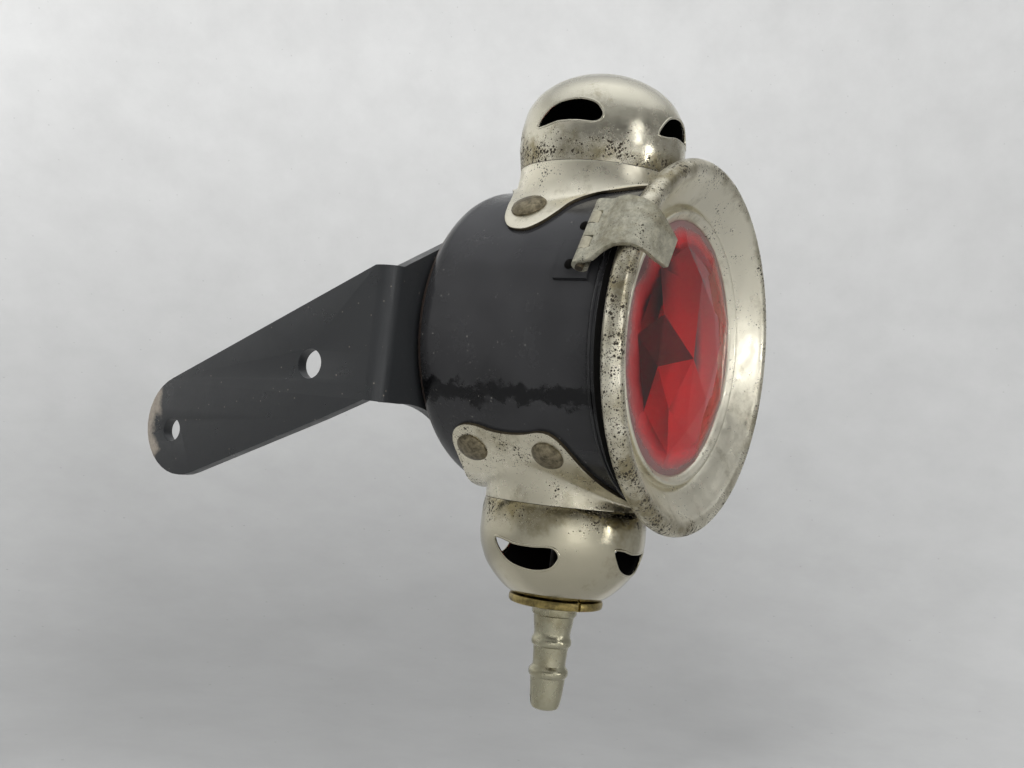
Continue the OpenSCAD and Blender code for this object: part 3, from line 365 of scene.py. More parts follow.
bm = bmesh.new()
corner = (DRUM_R - CORNER, DRUM_BACK + CORNER)
turn(bm, around_drum(
    [(0, DRUM_BACK), (9, DRUM_BACK), (18, DRUM_BACK)] + arc(corner, CORNER, -90, 0, 12)
    + [(DRUM_R, -8), (DRUM_R, 0), (DRUM_R, 8), (DRUM_R, 16), (DRUM_R, DRUM_FRONT - 0.3),
       (DRUM_R - 0.2, DRUM_FRONT), (DRUM_R - 0.7, DRUM_FRONT), (DRUM_R - DRUM_WALL, DRUM_FRONT - 0.3),
       (DRUM_R - DRUM_WALL, 8), (DRUM_R - DRUM_WALL, -8)]
    + arc(corner, CORNER - DRUM_WALL, 0, -90, 10)
    + [(12, DRUM_BACK + DRUM_WALL), (0, DRUM_BACK + DRUM_WALL)]), (0, 1, 0))
drum = piece_from(bm, "drum_shell", black_enamel, tin)
THROAT_R, THROUGH_ALL = 15.2, 90
cutters = bmesh.new()
rod(cutters, (0, 0, 0), (0, 0, 1), THROAT_R, THROUGH_ALL, 96)
cut_from(drum, cutters)
for face in drum.data.polygons:
    middle = (face.center - LAMP) / MM
    inner = sqrt(middle.x ** 2 + middle.z ** 2) < DRUM_R - 0.75 and middle.y < -DRUM_BACK - 0.5
    face.material_index = 1 if inner and middle.y > -DRUM_FRONT + 0.1 else 0
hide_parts("drum_body")
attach(drum, "lamp")

# Mouth ring: narrow steel ring sweated round the drum's mouth, with two rolled lines. It is under
# the same enamel as the drum, and the door's skirt goes over it.
LINE_R = 0.34
bm = bmesh.new()
ring = ([(31.45, 18.3), (31.9, 18.32), (32.02, 18.42), (32.05, 18.5)]
        + arc((32.02, 18.85), LINE_R, -90, 90, 6) + [(32.05, 19.2), (32.05, 19.6)]
        + arc((32.02, 19.9), LINE_R, -90, 90, 6) + [(32.05, 20.3), (32.05, 20.85), (31.9, 21), (31.45, 21)])
turn(bm, around_drum(ring), (0, 1, 0), closed=True, steps=192)
mouth = piece_from(bm, "mouth_band", black_enamel, sharp=50)
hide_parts("mouth_ring")
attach(mouth, "lamp")


# Saddles: brass sheet flanges, wrapped on the drum, riveted at their ears and flared up into the
# necks of chimney and cup. Their nickel plate is dull, yellowed in bands and pitted dark.
def nickel(name, pits, tarnish, gloss=0.3, colour="#c2bda9", gather=None):
    """Old nickel plate over brass: a warm grey mirror gone dull, with dark pits and brown bloom.

    The pits and the bloom gather where gather's line, an output of the tree, rises."""
    made, tree, shader, at = surface(name, colour, gloss, Metallic=1)
    crowd = gather(tree, at) if gather else 0.0
    # bloom in patches of about 10 mm, mottled at 2 mm
    cloud = put(tree, "TexNoise", {"Vector": at, "Scale": 95, "Detail": 8, "Roughness": 0.72})
    thick = put(tree, "Math", {0: cloud.outputs["Fac"], 1: crowd}, operation="ADD")
    bloom = put(tree, "MapRange", {"Value": thick.outputs[0],
                                   "From Min": 0.62 - 0.2 * tarnish, "From Max": 0.8 - 0.1 * tarnish,
                                   "To Min": 0, "To Max": 0.85})
    aged = put(tree, "Mix", {"Factor": bloom.outputs["Result"], 6: hexed(colour), 7: hexed("#7d7250")},
               data_type="RGBA")
    # pits of up to 0.6 mm that gather in patches
    fine = put(tree, "TexVoronoi", {"Vector": at, "Scale": 2900, "Randomness": 1})
    broad = put(tree, "TexVoronoi", {"Vector": at, "Scale": 1300, "Randomness": 1})
    patch = put(tree, "TexNoise", {"Vector": at, "Scale": 170, "Detail": 7, "Roughness": 0.75})
    crowded = put(tree, "Math", {0: patch.outputs["Fac"], 1: crowd}, operation="ADD")
    thick = put(tree, "MapRange", {"Value": crowded.outputs[0],
                                   "From Min": 0.66 - 0.3 * pits, "From Max": 0.9 - 0.3 * pits,
                                   "To Min": 0, "To Max": 0.42})
    spot_fine = put(tree, "Math", {0: thick.outputs["Result"], 1: fine.outputs["Distance"]},
                    operation="SUBTRACT")
    spot_broad = put(tree, "Math", {0: thick.outputs["Result"], 1: broad.outputs["Distance"]},
                     operation="SUBTRACT")
    spots = put(tree, "Math", {0: spot_fine.outputs[0], 1: spot_broad.outputs[0]}, operation="MAXIMUM")
    pitted = put(tree, "MapRange", {"Value": spots.outputs[0], "From Min": -0.04, "From Max": 0.06})
    dark = put(tree, "Mix", {"Factor": pitted.outputs["Result"], 6: aged.outputs[2], 7: hexed("#241f17")},
               data_type="RGBA")
    tree.links.new(dark.outputs[2], shader.inputs["Base Color"])
    smear = put(tree, "TexNoise", {"Vector": at, "Scale": 420, "Detail": 4})
    dull = put(tree, "MapRange", {"Value": smear.outputs["Fac"],
                                  "From Min": 0.3, "From Max": 0.7,
                                  "To Min": gloss - 0.06, "To Max": gloss + 0.12})
    rough = put(tree, "Mix", {"Factor": pitted.outputs["Result"], 2: dull.outputs["Result"], 3: 0.85},
                data_type="FLOAT")
    rough = put(tree, "Math", {0: rough.outputs[0], 1: dull.outputs["Result"]}, operation="MAXIMUM")
    tree.links.new(rough.outputs[0], shader.inputs["Roughness"])
    shine = put(tree, "MapRange", {"Value": pitted.outputs["Result"], "To Min": 1, "To Max": 0.25})
    tree.links.new(shine.outputs["Result"], shader.inputs["Metallic"])
    # hammer waves of 6 mm, and the pits sunk 0.03 mm
    dents = put(tree, "TexNoise", {"Vector": at, "Scale": 160, "Detail": 2})
    wavy = put(tree, "Bump", {"Height": dents.outputs["Fac"], "Strength": 0.35, "Distance": 0.0003})
    sunk = put(tree, "Bump", {"Height": pitted.outputs["Result"], "Strength": 0.6, "Distance": 0.00003,
                              "Normal": wavy.outputs["Normal"]}, invert=True)
    tree.links.new(sunk.outputs["Normal"], shader.inputs["Normal"])
    return made


def near_height(low, high, middle, gain):
    """Gathers pits round one height over the lamp's centre, fading out at low and high, all in mm."""
    bottom, centre, top = [LAMP.z + z * MM for z in (low, middle, high)]

    def gather(tree, at):
        place = put(tree, "SeparateXYZ", {"Vector": at})
        rise = put(tree, "MapRange", {"Value": place.outputs["Z"],
                                      "From Min": bottom, "From Max": centre, "To Min": 0, "To Max": gain})
        fade = put(tree, "MapRange", {"Value": place.outputs["Z"],
                                      "From Min": centre, "From Max": top, "To Min": 1, "To Max": 0})
        return put(tree, "Math", {0: rise.outputs["Result"], 1: fade.outputs["Result"]},
                   operation="MULTIPLY").outputs[0]
    return gather


saddle_plate = nickel("pitted_nickel_plate", 0.66, 0.28, 0.3, "#e2dcc8")
dome_plate = nickel("dome_nickel_plate", 0.36, 0.2, 0.2, "#cdc8b6", near_height(30, 45, 36.4, 0.24))
stained_plate = nickel("stained_nickel_plate", 0.76, 0.55, 0.28, "#d0cab6")
cup_plate = nickel("cup_nickel_plate", 0.36, 0.4, 0.15, "#b9b39e", near_height(-40, -30, -34, 0.22))
# dark edge: grime, and painted shade along the saddles' cut edges; grimy dark metal on pin, nut and tube
grime_and_shade_edge, tree, shader, at = surface("grime_and_shade_cut_edge", "#17140f", 0.6, Metallic=0.3)
grime = put(tree, "TexNoise", {"Vector": at, "Scale": 1200, "Detail": 4})
tone = put(tree, "Mix", {"Factor": grime.outputs["Fac"], 6: hexed("#0c0a07"), 7: hexed("#3b3427")},
           data_type="RGBA")
tree.links.new(tone.outputs[2], shader.inputs["Base Color"])
SHEET, SEAM = 0.7, 0.05
SADDLE_R = DRUM_R + SEAM + SHEET


def walled(piece, name, thickness, offset=-1):
    """Gives a sheet its thickness, in millimetres: inside it for an offset of -1, else on both sides."""
    wall = piece.modifiers.new(name, "SOLIDIFY")
    wall.thickness, wall.offset = thickness * MM, offset
    return wall


def worn_edges(piece, name, width, segments=2, angle=50):
    """Rounds the edges that bend by more than angle degrees, by a width in millimetres."""
    rim = piece.modifiers.new(name, "BEVEL")
    rim.width, rim.segments = width * MM, segments
    rim.limit_method, rim.angle_limit = "ANGLE", radians(angle)


def saddle_piece(name, foot, outline, side, front_stop, material):
    """Neck, flare and flange of one saddle as a sheet, drawn from the neck down to its outline."""
    flare = curved([(16.6, foot), (16.7, foot - 2.2), (17.2, foot - 4.8), (18.3, foot - 7.6),
                    (20.0, foot - 10.6), (21.4, foot - 14.4)], 8)
    steps, rows = 288, 26
    around = []
    for k in range(steps):
        a = 2 * pi * k / steps
        reach = outline(degrees(a))
        # walk down the flare until it meets the drum, then out along the drum to the outline
        track = []
        for r, z in flare:
            skin = sqrt(SADDLE_R ** 2 - (r * cos(a)) ** 2)
            if z <= skin + 0.02:
                break
            track.append((r, z))
        r0 = track[-1][0]
        far_out = [(r0 + (reach - r0) * i / 14) for i in range(1, 15)]
        track += [(r, sqrt(SADDLE_R ** 2 - (r * cos(a)) ** 2)) for r in far_out]
        # share the points out evenly, closer at the bend
        lengths = [0.0]
        for (r1, z1), (r2, z2) in zip(track, track[1:]):
            lengths.append(lengths[-1] + sqrt((r2 - r1) ** 2 + (z2 - z1) ** 2))
        spread = []
        for i in range(rows + 1):
            want, j = lengths[-1] * i / rows, 1
            while lengths[j] < want - 1e-9:
                j += 1
            t = (want - lengths[j - 1]) / (lengths[j] - lengths[j - 1])
            (r1, z1), (r2, z2) = track[j - 1], track[j]
            spread.append((r1 + t * (r2 - r1), z1 + t * (z2 - z1)))
        # soften the bend between flare and flange
        for _ in range(3):
            eased = [((r1 + 2 * r2 + r3) / 4, (z1 + 2 * z2 + z3) / 4)
                     for (r1, z1), (r2, z2), (r3, z3) in zip(spread, spread[1:], spread[2:])]
            spread = [spread[0]] + eased + [spread[-1]]
        around.append([(r * cos(a), max(r * sin(a), front_stop), side * z) for r, z in spread])
    bm = bmesh.new()
    verts, ring_edges = line_of(bm, [row[0] for row in around], closed=True)
    for level in range(1, rows + 1):
        made = bmesh.ops.extrude_edge_only(bm, edges=ring_edges)["geom"]
        edges = [g for g in made if isinstance(g, bmesh.types.BMEdge)]
        ring_edges = [e for e in edges if not any(v in verts for v in e.verts)]
        fresh = {v for e in ring_edges for v in e.verts}
        links = {}
        for v in fresh:
            below = next(e.other_vert(v) for e in v.link_edges if e.other_vert(v) in verts)
            links[below] = v
        verts = [links[v] for v in verts]
        for v, row in zip(verts, around):
            v.co = LAMP + Vector(row[level]) * MM
    made = piece_from(bm, name, material, grime_and_shade_edge, sharp=60)
    outward = sum((p.normal.dot(p.center - LAMP) > 0) * 2 - 1 for p in made.data.polygons)
    if outward < 0:
        made.data.flip_normals()
    # the sheet's cut edges get the dark edge of grime and painted shade
    walled(made, "sheet", SHEET).material_offset_rim = 1
    worn_edges(made, "rubbed_edge", 0.1)
    return made


def plan_reach(half, end):
    """Distance from the axis to a saddle's outline, by angle; half of it is mirrored at X = 0."""
    points = curved(half + [(0, end)] + [(-x, y) for x, y in reversed(half[1:])], 5, closed=True)
    line = [(degrees(atan2(y, x)) % 360, sqrt(x * x + y * y)) for x, y in points]
    line.sort()
    line = [(line[-1][0] - 360, line[-1][1])] + line + [(line[0][0] + 360, line[0][1])]

    def reach(angle):
        angle %= 360
        for (a, ra), (b, rb) in zip(line, line[1:]):
            if a <= angle <= b:
                return ra + (rb - ra) * ((angle - a) / (b - a) if b > a else 0)
        return line[0][1]
    return reach


SADDLE_STOP = -18.1
top_half = [(0, -17.8), (-4.4, -17.3), (-8.4, -15.7), (-11.4, -13.6), (-13.5, -11.6), (-15.3, -9.0),
            (-17.4, -6.6), (-19.9, -4.9), (-22.4, -4.0), (-24.6, -2.3), (-25.9, 0.1), (-26.1, 2.4),
            (-25.6, 4.9), (-24.0, 6.9), (-21.2, 8.4), (-18.4, 9.6), (-15.8, 10.9), (-12.8, 12.8),
            (-9.4, 15.2), (-4.8, 17.2)]
top = saddle_piece("upper_saddle", 34.6, plan_reach(top_half, 17.8), 1, SADDLE_STOP, saddle_plate)
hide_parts("top_saddle")
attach(top, "lamp")

low_half = [(0, -19.6), (-5, -19.2), (-9.4, -18.1), (-15.3, -15.4), (-20.2, -13.1), (-23.3, -11.3),
            (-25.0, -9.2), (-25.4, -6.6), (-24.9, -3.0), (-24.7, 0.6), (-24.9, 4.2), (-25.5, 7.6),
            (-25.5, 10.4), (-24.6, 12.9), (-22.6, 14.3), (-19.4, 14.9), (-15.6, 15.9), (-10.4, 17.8),
            (-5.2, 19.0)]
low = saddle_piece("lower_saddle", 33.3, plan_reach(low_half, 19.4), -1, SADDLE_STOP, stained_plate)
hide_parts("bottom_saddle")
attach(low, "lamp")

# Saddle rivets: brass, two through the upper saddle's ears and four through the lower one's. Their
# heads are flattened by the hammer and worn to a brown skin.
rivet_metal, tree, shader, at = surface("brown_worn_brass", "#6f664f", 0.5, Metallic=0.8)
grain = put(tree, "TexNoise", {"Vector": at, "Scale": 900, "Detail": 6, "Roughness": 0.7})
shade = put(tree, "MapRange", {"Value": grain.outputs["Fac"], "From Min": 0.35, "From Max": 0.65})
skin = put(tree, "Mix", {"Factor": shade.outputs["Result"], 6: hexed("#453f31"), 7: hexed("#857c66")},
           data_type="RGBA")
tree.links.new(skin.outputs[2], shader.inputs["Base Color"])
grained = put(tree, "Bump", {"Height": grain.outputs["Fac"], "Strength": 0.4, "Distance": 0.00008})
tree.links.new(grained.outputs["Normal"], shader.inputs["Normal"])


def rivet_head(bm, x, y, side, radius, height):
    """A low domed head seated on a saddle's ear, spun from its own profile."""
    lean = asin(x / SADDLE_R)
    out = Vector((sin(lean), 0, side * cos(lean)))
    seat = LAMP + (out * (SADDLE_R - 0.25) + Vector((0, y, 0))) * MM
    turned = Vector((0, 0, 1)).rotation_difference(out).to_matrix().to_4x4()
    profile = [(0, 0), (radius * 0.96, 0), (radius, 0.35), (radius * 0.97, 0.55),
               (radius * 0.86, height * 0.72), (radius * 0.62, height * 0.95),
               (radius * 0.3, height + 0.16), (0, height + 0.2)]
    verts = [bm.verts.new(Vector((r, 0, z)) * MM) for r, z in profile]
    edges = [bm.edges.new(pair) for pair in zip(verts, verts[1:])]
    bmesh.ops.spin(bm, geom=verts + edges, cent=(0, 0, 0), axis=(0, 0, 1), dvec=(0, 0, 0), angle=2 * pi,
                   steps=40, use_merge=True)
    # all that hangs together with the profile is this head, and goes to its seat
    whole = set(verts)
    grown = True
    while grown:
        more = {e.other_vert(v) for v in whole for e in v.link_edges} - whole
        whole |= more
        grown = bool(more)
    bmesh.ops.transform(bm, verts=list(whole), matrix=Matrix.Translation(seat) @ turned)


UPPER_EAR, LOWER_EAR, LOWER_EAR_YS = (21.1, 3.4), 21.6, (-6.9, 10.2)
bm = bmesh.new()
for x in (-UPPER_EAR[0], UPPER_EAR[0]):
    rivet_head(bm, x, UPPER_EAR[1], 1, 3.6, 1.4)
heads = piece_from(bm, "upper_rivet_heads", rivet_metal, sharp=60)
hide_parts("top_rivets")
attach(heads, "lamp")
bm = bmesh.new()
for x in (-LOWER_EAR, LOWER_EAR):
    for y in LOWER_EAR_YS:
        rivet_head(bm, x, y, -1, 3.3, 1.3)
heads = piece_from(bm, "lower_rivet_heads", rivet_metal, sharp=60)
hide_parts("bottom_rivets")
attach(heads, "lamp")

# Chimney dome and air cup: spun brass, nickelled. Each has four kidney-shaped vents punched
# round it, their edges turned out a little, and a foot that pushes into its saddle's neck.
vent_shape = curved([(-1, 0.02), (-0.86, 0.4), (-0.52, 0.8), (-0.05, 0.98), (0.4, 1), (0.8, 0.82),
                     (1, 0.42), (0.84, 0.1), (0.3, 0.13), (-0.25, 0.12), (-0.7, 0.0)], 5, closed=True)
VENTS, VENT_TURN, VENT_HALF, VENT_TALL, LIP_R, CROWN_AT, NECK_AT = 4, 182, 7.2, 5.5, 0.3, 42, 34


def spun_cap(name, outer, inner, side, vent_foot, node, plate):
    """A spun shell, sooted inside, with its vents cut through, and the rolled lips of the vents."""
    bm = bmesh.new()
    turn(bm, [(r, 0, side * z) for r, z in outer + inner[::-1]], (0, 0, 1), closed=True, steps=160)
    made = piece_from(bm, name, plate, soot)
    cutters = bmesh.new()
    lips = bpy.data.curves.new(name + "_lips", "CURVE")
    lips.dimensions = "3D"
    lips.bevel_depth, lips.bevel_resolution = LIP_R * MM, 3
    wall = sorted((z, r) for r, z in outer if z > vent_foot - 3 and r > 6)

    def radius_at(z):
        for (za, ra), (zb, rb) in zip(wall, wall[1:]):
            if za <= z <= zb:
                return ra + (rb - ra) * (z - za) / (zb - za)
        return wall[0][1]

    flat = [(u * VENT_HALF, vent_foot + VENT_TALL * v) for u, v in vent_shape]
    for vent in range(VENTS):
        spin = Matrix.Rotation(radians(VENT_TURN + 360 / VENTS * vent), 4, "Z")
        ring = [cutters.verts.new(LAMP + spin @ Vector((5, y, side * z)) * MM) for y, z in flat]
        face = cutters.faces.new(ring)
        pushed = bmesh.ops.extrude_face_region(cutters, geom=[face])["geom"]
        bmesh.ops.translate(cutters, verts=[g for g in pushed if isinstance(g, bmesh.types.BMVert)],
                            vec=spin @ Vector((18, 0, 0)) * MM)
        lip = lips.splines.new("POLY")
        lip.points.add(len(flat) - 1)
        lip.use_cyclic_u = True
        for point, (y, z) in zip(lip.points, flat):
            r = radius_at(z) - 0.6 * LIP_R
            spot = LAMP + spin @ Vector((sqrt(r * r - y * y), y, side * z)) * MM
            point.co = (*spot, 1)
    cut_from(made, cutters)
    # faces that look in at the axis, or at the crown's centre, are sooted
    for face in made.data.polygons:
        middle = (face.center - LAMP) / MM
        level = Vector((0, 0, side * CROWN_AT if abs(middle.z) > CROWN_AT else middle.z))
        inward = face.normal.dot(middle - level) < -0.1
        face.material_index = 1 if inward and abs(middle.z) > NECK_AT else 0
    worn_edges(made, "rubbed_edge", 0.1)
    curve_piece = bpy.data.objects.new(name + "_lips", lips)
    bpy.context.scene.collection.objects.link(curve_piece)
    mesh = settled_mesh(curve_piece)
    bpy.data.objects.remove(curve_piece)
    for face in mesh.polygons:
        face.use_smooth = True
    mesh.materials.append(plate)
    rolled = bpy.data.objects.new(name + "_vent_lips", mesh)
    bpy.context.scene.collection.objects.link(rolled)
    for piece in (made, rolled):
        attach(piece, "lamp")
    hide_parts(node)


dome_foot = [(15.15, 35.2), (15.15, 31.8), (15.85, 31.8), (15.85, 34.63)]
dome_outer = curved([(16.6, 34.65), (16.75, 35.6), (17.0, 37.2), (17.25, 39.0), (17.3, 40.5),
                     (17.25, 42.4), (17.0, 44.4), (16.3, 47.3), (14.6, 50.2), (12.5, 52.2),
                     (10.4, 53.6), (7.6, 54.9), (4.4, 55.65), (0, 55.9)], 4)
dome_inner = curved([(15.9, 35.35), (16.05, 36.4), (16.35, 38.2), (16.6, 40.5), (16.3, 44.3),
                     (15.6, 47.0), (13.9, 49.8), (11.9, 51.6), (9.6, 53.0), (6.8, 54.2),
                     (3.8, 54.95), (0, 55.2)], 4)
spun_cap("dome_shell", dome_foot + dome_outer, dome_inner, 1, 41.5, "chimney_dome", dome_plate)
cup_foot = [(15.15, 34.05), (15.15, 31.55), (15.85, 31.55), (15.85, 33.36)]
cup_outer = curved([(16.6, 33.4), (16.85, 34.4), (17.0, 36.4), (17.05, 38.5), (17.0, 40.6),
                    (16.5, 43.2), (15.3, 46.2), (13.4, 48.8), (11.6, 50.6), (10.3, 51.6),
                    (9.0, 52.2), (6.0, 52.3), (3.1, 52.3)], 4)
cup_inner = curved([(15.9, 34.1), (16.3, 36.4), (16.35, 38.5), (16.3, 40.5), (15.8, 43.0),
                    (14.6, 45.8), (12.9, 48.2), (11.0, 50.1), (9.6, 51.0), (8.4, 51.5),
                    (6.0, 51.6), (3.1, 51.6)], 4)
spun_cap("cup_shell", cup_foot + cup_outer, cup_inner, -1, 40.7, "intake_cup", cup_plate)

# Lock ring and hose nozzle: turned brass. The ring is thin, with spanner notches, and still
# yellow; the nozzle is nickelled, greenish in its grooves, with two barbs and a slotted end.
yellow_brass, tree, shader, at = surface("yellowed_brass", "#9a8a58", 0.36, Metallic=1)
grime = put(tree, "TexNoise", {"Vector": at, "Scale": 500, "Detail": 7, "Roughness": 0.7})
dirt = put(tree, "MapRange", {"Value": grime.outputs["Fac"], "From Min": 0.4, "From Max": 0.7})
tone = put(tree, "Mix", {"Factor": dirt.outputs["Result"], 6: hexed("#a5945e"), 7: hexed("#4a4230")},
           data_type="RGBA")
tree.links.new(tone.outputs[2], shader.inputs["Base Color"])
grimy = put(tree, "Bump", {"Height": grime.outputs["Fac"], "Strength": 0.35, "Distance": 0.00008})
tree.links.new(grimy.outputs["Normal"], shader.inputs["Normal"])
nozzle_plate = nickel("greened_nickel_plate", 0.4, 0.75, 0.26, "#aaa690")



def slot_cutter(bm, place, angle, size):
    """A box turned about the upright by an angle in degrees; place and size are in millimetres."""
    turned = Matrix.Translation(LAMP + Vector(place) * MM) @ Matrix.Rotation(radians(angle), 4, "Z")
    bmesh.ops.create_cube(bm, size=1, matrix=turned @ Matrix.Diagonal((*[d * MM for d in size], 1)))


NOTCH_R, NOTCH_SIZE, NOTCH_TURNS = 9.9, (1.6, 0.6, 4), (239, 59)
bm = bmesh.new()
lock_line = [(3.05, -52.35), (9.1, -52.35), (9.55, -52.5), (9.7, -52.85), (9.7, -53.6), (9.5, -53.98),
             (9.0, -54.15), (3.05, -54.15)]
turn(bm, [(r, 0, z) for r, z in lock_line], (0, 0, 1), closed=True, steps=128)
lock = piece_from(bm, "lock_ring_turned", yellow_brass)
cutters = bmesh.new()
for a in NOTCH_TURNS:
    slot_cutter(cutters, (NOTCH_R * cos(radians(a)), NOTCH_R * sin(radians(a)), -53.25), a, NOTCH_SIZE)
cut_from(lock, cutters)
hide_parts("lock_ring")
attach(lock, "lamp")

# collar, two barbs, the slotted end, then up the bore to the gas tube's seat
NOZZLE_END, SLOT_TURN, SLOT_SIZE = -75.4, -52, (14, 1.2, 5.4)
bm = bmesh.new()
stem = [(3.0, -53), (3.0, -54.25), (4.3, -54.3), (4.62, -54.6), (4.65, -55.6), (4.5, -56.15),
        (4.15, -56.4), (4.1, -57.2), (3.95, -58.4), (3.72, -59.8), (3.75, -60.6), (3.98, -61.0),
        (4.1, -61.3), (4.1, -62.05), (3.9, -62.45), (3.6, -62.7), (3.5, -63.8), (3.38, -65.6),
        (3.4, -66.5), (3.78, -67.0), (4.05, -67.35), (4.1, -67.7), (4.08, -68.3), (3.85, -68.7),
        (3.6, -68.95), (3.45, -70.6), (3.25, -73.0), (3.0, -74.5), (2.75, -75.1), (2.3, NOZZLE_END),
        (1.6, -75.38), (1.25, -75.2), (1.25, -48.2), (2.05, -48.15), (2.05, -47.8), (3.0, -47.75)]
turn(bm, [(r, 0, z) for r, z in stem], (0, 0, 1), closed=True, steps=96)
nozzle = piece_from(bm, "hose_nozzle_turned", nozzle_plate, sharp=38)
cutters = bmesh.new()
slot_cutter(cutters, (0, 0, NOZZLE_END), SLOT_TURN, SLOT_SIZE)
cut_from(nozzle, cutters)
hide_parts("hose_nozzle")
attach(nozzle, "lamp")

# Bracket: one strip of mild steel, its end cut to a round plate, bent square and drooping back.
# Its paint is dull and lumpy, chipped in places and worn off at the tip.
arm_paint, tree, shader, at = surface("dull_black_paint", "#1a1b1c", 0.36)
brushed = put(tree, "TexNoise", {"Vector": at, "Scale": 140, "Detail": 8, "Roughness": 0.65})
rough = put(tree, "MapRange", {"Value": brushed.outputs["Fac"],
                               "From Min": 0.35, "From Max": 0.7, "To Min": 0.26, "To Max": 0.5})
tree.links.new(rough.outputs["Result"], shader.inputs["Roughness"])
# wear: bare rusty metal on the last few millimetres of the arm, ragged at its edge
place = put(tree, "SeparateXYZ", {"Vector": at})
ragged = put(tree, "Math", {0: brushed.outputs["Fac"], 1: 0.016}, operation="MULTIPLY")
edge = put(tree, "Math", {0: place.outputs["Y"], 1: ragged.outputs[0]}, operation="ADD")
worn = put(tree, "MapRange", {"Value": edge.outputs[0], "From Min": 0.0482, "From Max": 0.0505})
rust = put(tree, "TexNoise", {"Vector": at, "Scale": 900, "Detail": 6, "Roughness": 0.7})
brown = put(tree, "Mix", {"Factor": rust.outputs["Fac"], 6: hexed("#3a3129"), 7: hexed("#8d867b")},
            data_type="RGBA")
chips = put(tree, "TexVoronoi", {"Vector": at, "Scale": 480, "Randomness": 1})
chip = put(tree, "MapRange", {"Value": chips.outputs["Distance"],
                              "From Min": 0.04, "From Max": 0.09, "To Min": 0.55, "To Max": 0})
bare = put(tree, "Math", {0: worn.outputs["Result"], 1: chip.outputs["Result"]}, operation="MAXIMUM")
paint = put(tree, "Mix", {"Factor": bare.outputs[0], 6: hexed("#1a1b1c"), 7: brown.outputs[2]},
            data_type="RGBA")
tree.links.new(paint.outputs[2], shader.inputs["Base Color"])
lumpy = put(tree, "Bump", {"Height": brushed.outputs["Fac"], "Strength": 0.3, "Distance": 0.0003})
tree.links.new(lumpy.outputs["Normal"], shader.inputs["Normal"])

STRIP, BEND, ARM_X, SLOPE = 2.4, 3.6, 38, radians(23.8)
HOLE_GAP, TIP_GAP, TIP_R, ROOT_R, BOLT_R, SMALL_BOLT_R = 40.4, 7.4, 10.7, 11.5, 3.0, 2.5
BEND_Y = BEND - DRUM_BACK
along, across = Vector((cos(SLOPE), -sin(SLOPE))), Vector((sin(SLOPE), cos(SLOPE)))
bolt = Vector((40, -10.7))
small_bolt = bolt + HOLE_GAP * along
tip = bolt + (HOLE_GAP + TIP_GAP - TIP_R) * along
# The strip is laid out flat: to the right of the bend is the plate, to the left the arm.
bend_run = (BEND - STRIP / 2) * pi / 2


def arm_flat(p):
    """Flat place of a point of the arm given as distance back and height."""
    return Vector((-(p[0] - BEND_Y) - bend_run, p[1]))


PLATE_R, FILLET_R = 24.5, 25.4
flat_plate = [(x + ARM_X - BEND, z) for x, z in arc((0, 0), PLATE_R, -135, 113, 44)]
flat_fillet = [(x + ARM_X - BEND, z) for x, z in arc((-28, -42.1), FILLET_R, 61, 97, 10)]
low_side = [arm_flat(p) for p in (tip - across * TIP_R, bolt - across * ROOT_R)]
high_side = [arm_flat(p) for p in ((BEND_Y + 0.4, 9.3), tip + across * TIP_R)]
end_turns = [radians(degrees(SLOPE) + i * 10) for i in range(1, 18)]
end = [arm_flat(tip + TIP_R * Vector((sin(a), cos(a)))) for a in end_turns]
outline = (flat_plate + [(0.2, 9.6)] + high_side + end + low_side
           + [(-bend_run, -16.9), (-0.3, -16.95)] + flat_fillet[::-1])
sheet = bpy.data.curves.new("bracket_outline", "CURVE")
sheet.dimensions, sheet.fill_mode = "2D", "BOTH"
rings = [outline]
for hole, r in ((arm_flat(bolt), BOLT_R), (arm_flat(small_bolt), SMALL_BOLT_R)):
    turns = [radians(a) for a in range(0, 360, 8)]
    rings.append([(hole.x + r * cos(a), hole.y + r * sin(a)) for a in turns])
for ring in rings:
    spline = sheet.splines.new("POLY")
    spline.points.add(len(ring) - 1)
    spline.use_cyclic_u = True
    for point, (x, y) in zip(spline.points, ring):
        point.co = (x, y, 0, 1)
flat_piece = bpy.data.objects.new("bracket_flat", sheet)
bpy.context.scene.collection.objects.link(flat_piece)
mesh = settled_mesh(flat_piece)
bpy.data.objects.remove(flat_piece)
bm = bmesh.new()
bm.from_mesh(mesh)
bmesh.ops.remove_doubles(bm, verts=bm.verts, dist=1e-4)
# creases across the bend, then the sheet is folded round it
CREASES = 10
for i in range(CREASES + 1):
    bmesh.ops.bisect_plane(bm, geom=bm.verts[:] + bm.edges[:] + bm.faces[:],
                           plane_co=(-bend_run * i / CREASES, 0, 0), plane_no=(1, 0, 0))
for vert in bm.verts:
    x, z = vert.co.x, vert.co.y
    if x >= 0:
        spot = (x - ARM_X + BEND, STRIP / 2 - DRUM_BACK, z)
    elif x > -bend_run:
        a = -x / bend_run * pi / 2
        middle = BEND - STRIP / 2
        spot = (-ARM_X + BEND - middle * sin(a), BEND_Y - middle * cos(a), z)
    else:
        spot = (-ARM_X + STRIP / 2, BEND_Y - x - bend_run, z)
    vert.co = LAMP + Vector(spot) * MM
bracket = piece_from(bm, "bracket_strip", arm_paint, sharp=60)
walled(bracket, "strip", STRIP, 0)
worn_edges(bracket, "filed_edge", 0.45, 3)
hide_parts("bracket_arm")
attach(bracket, "lamp")

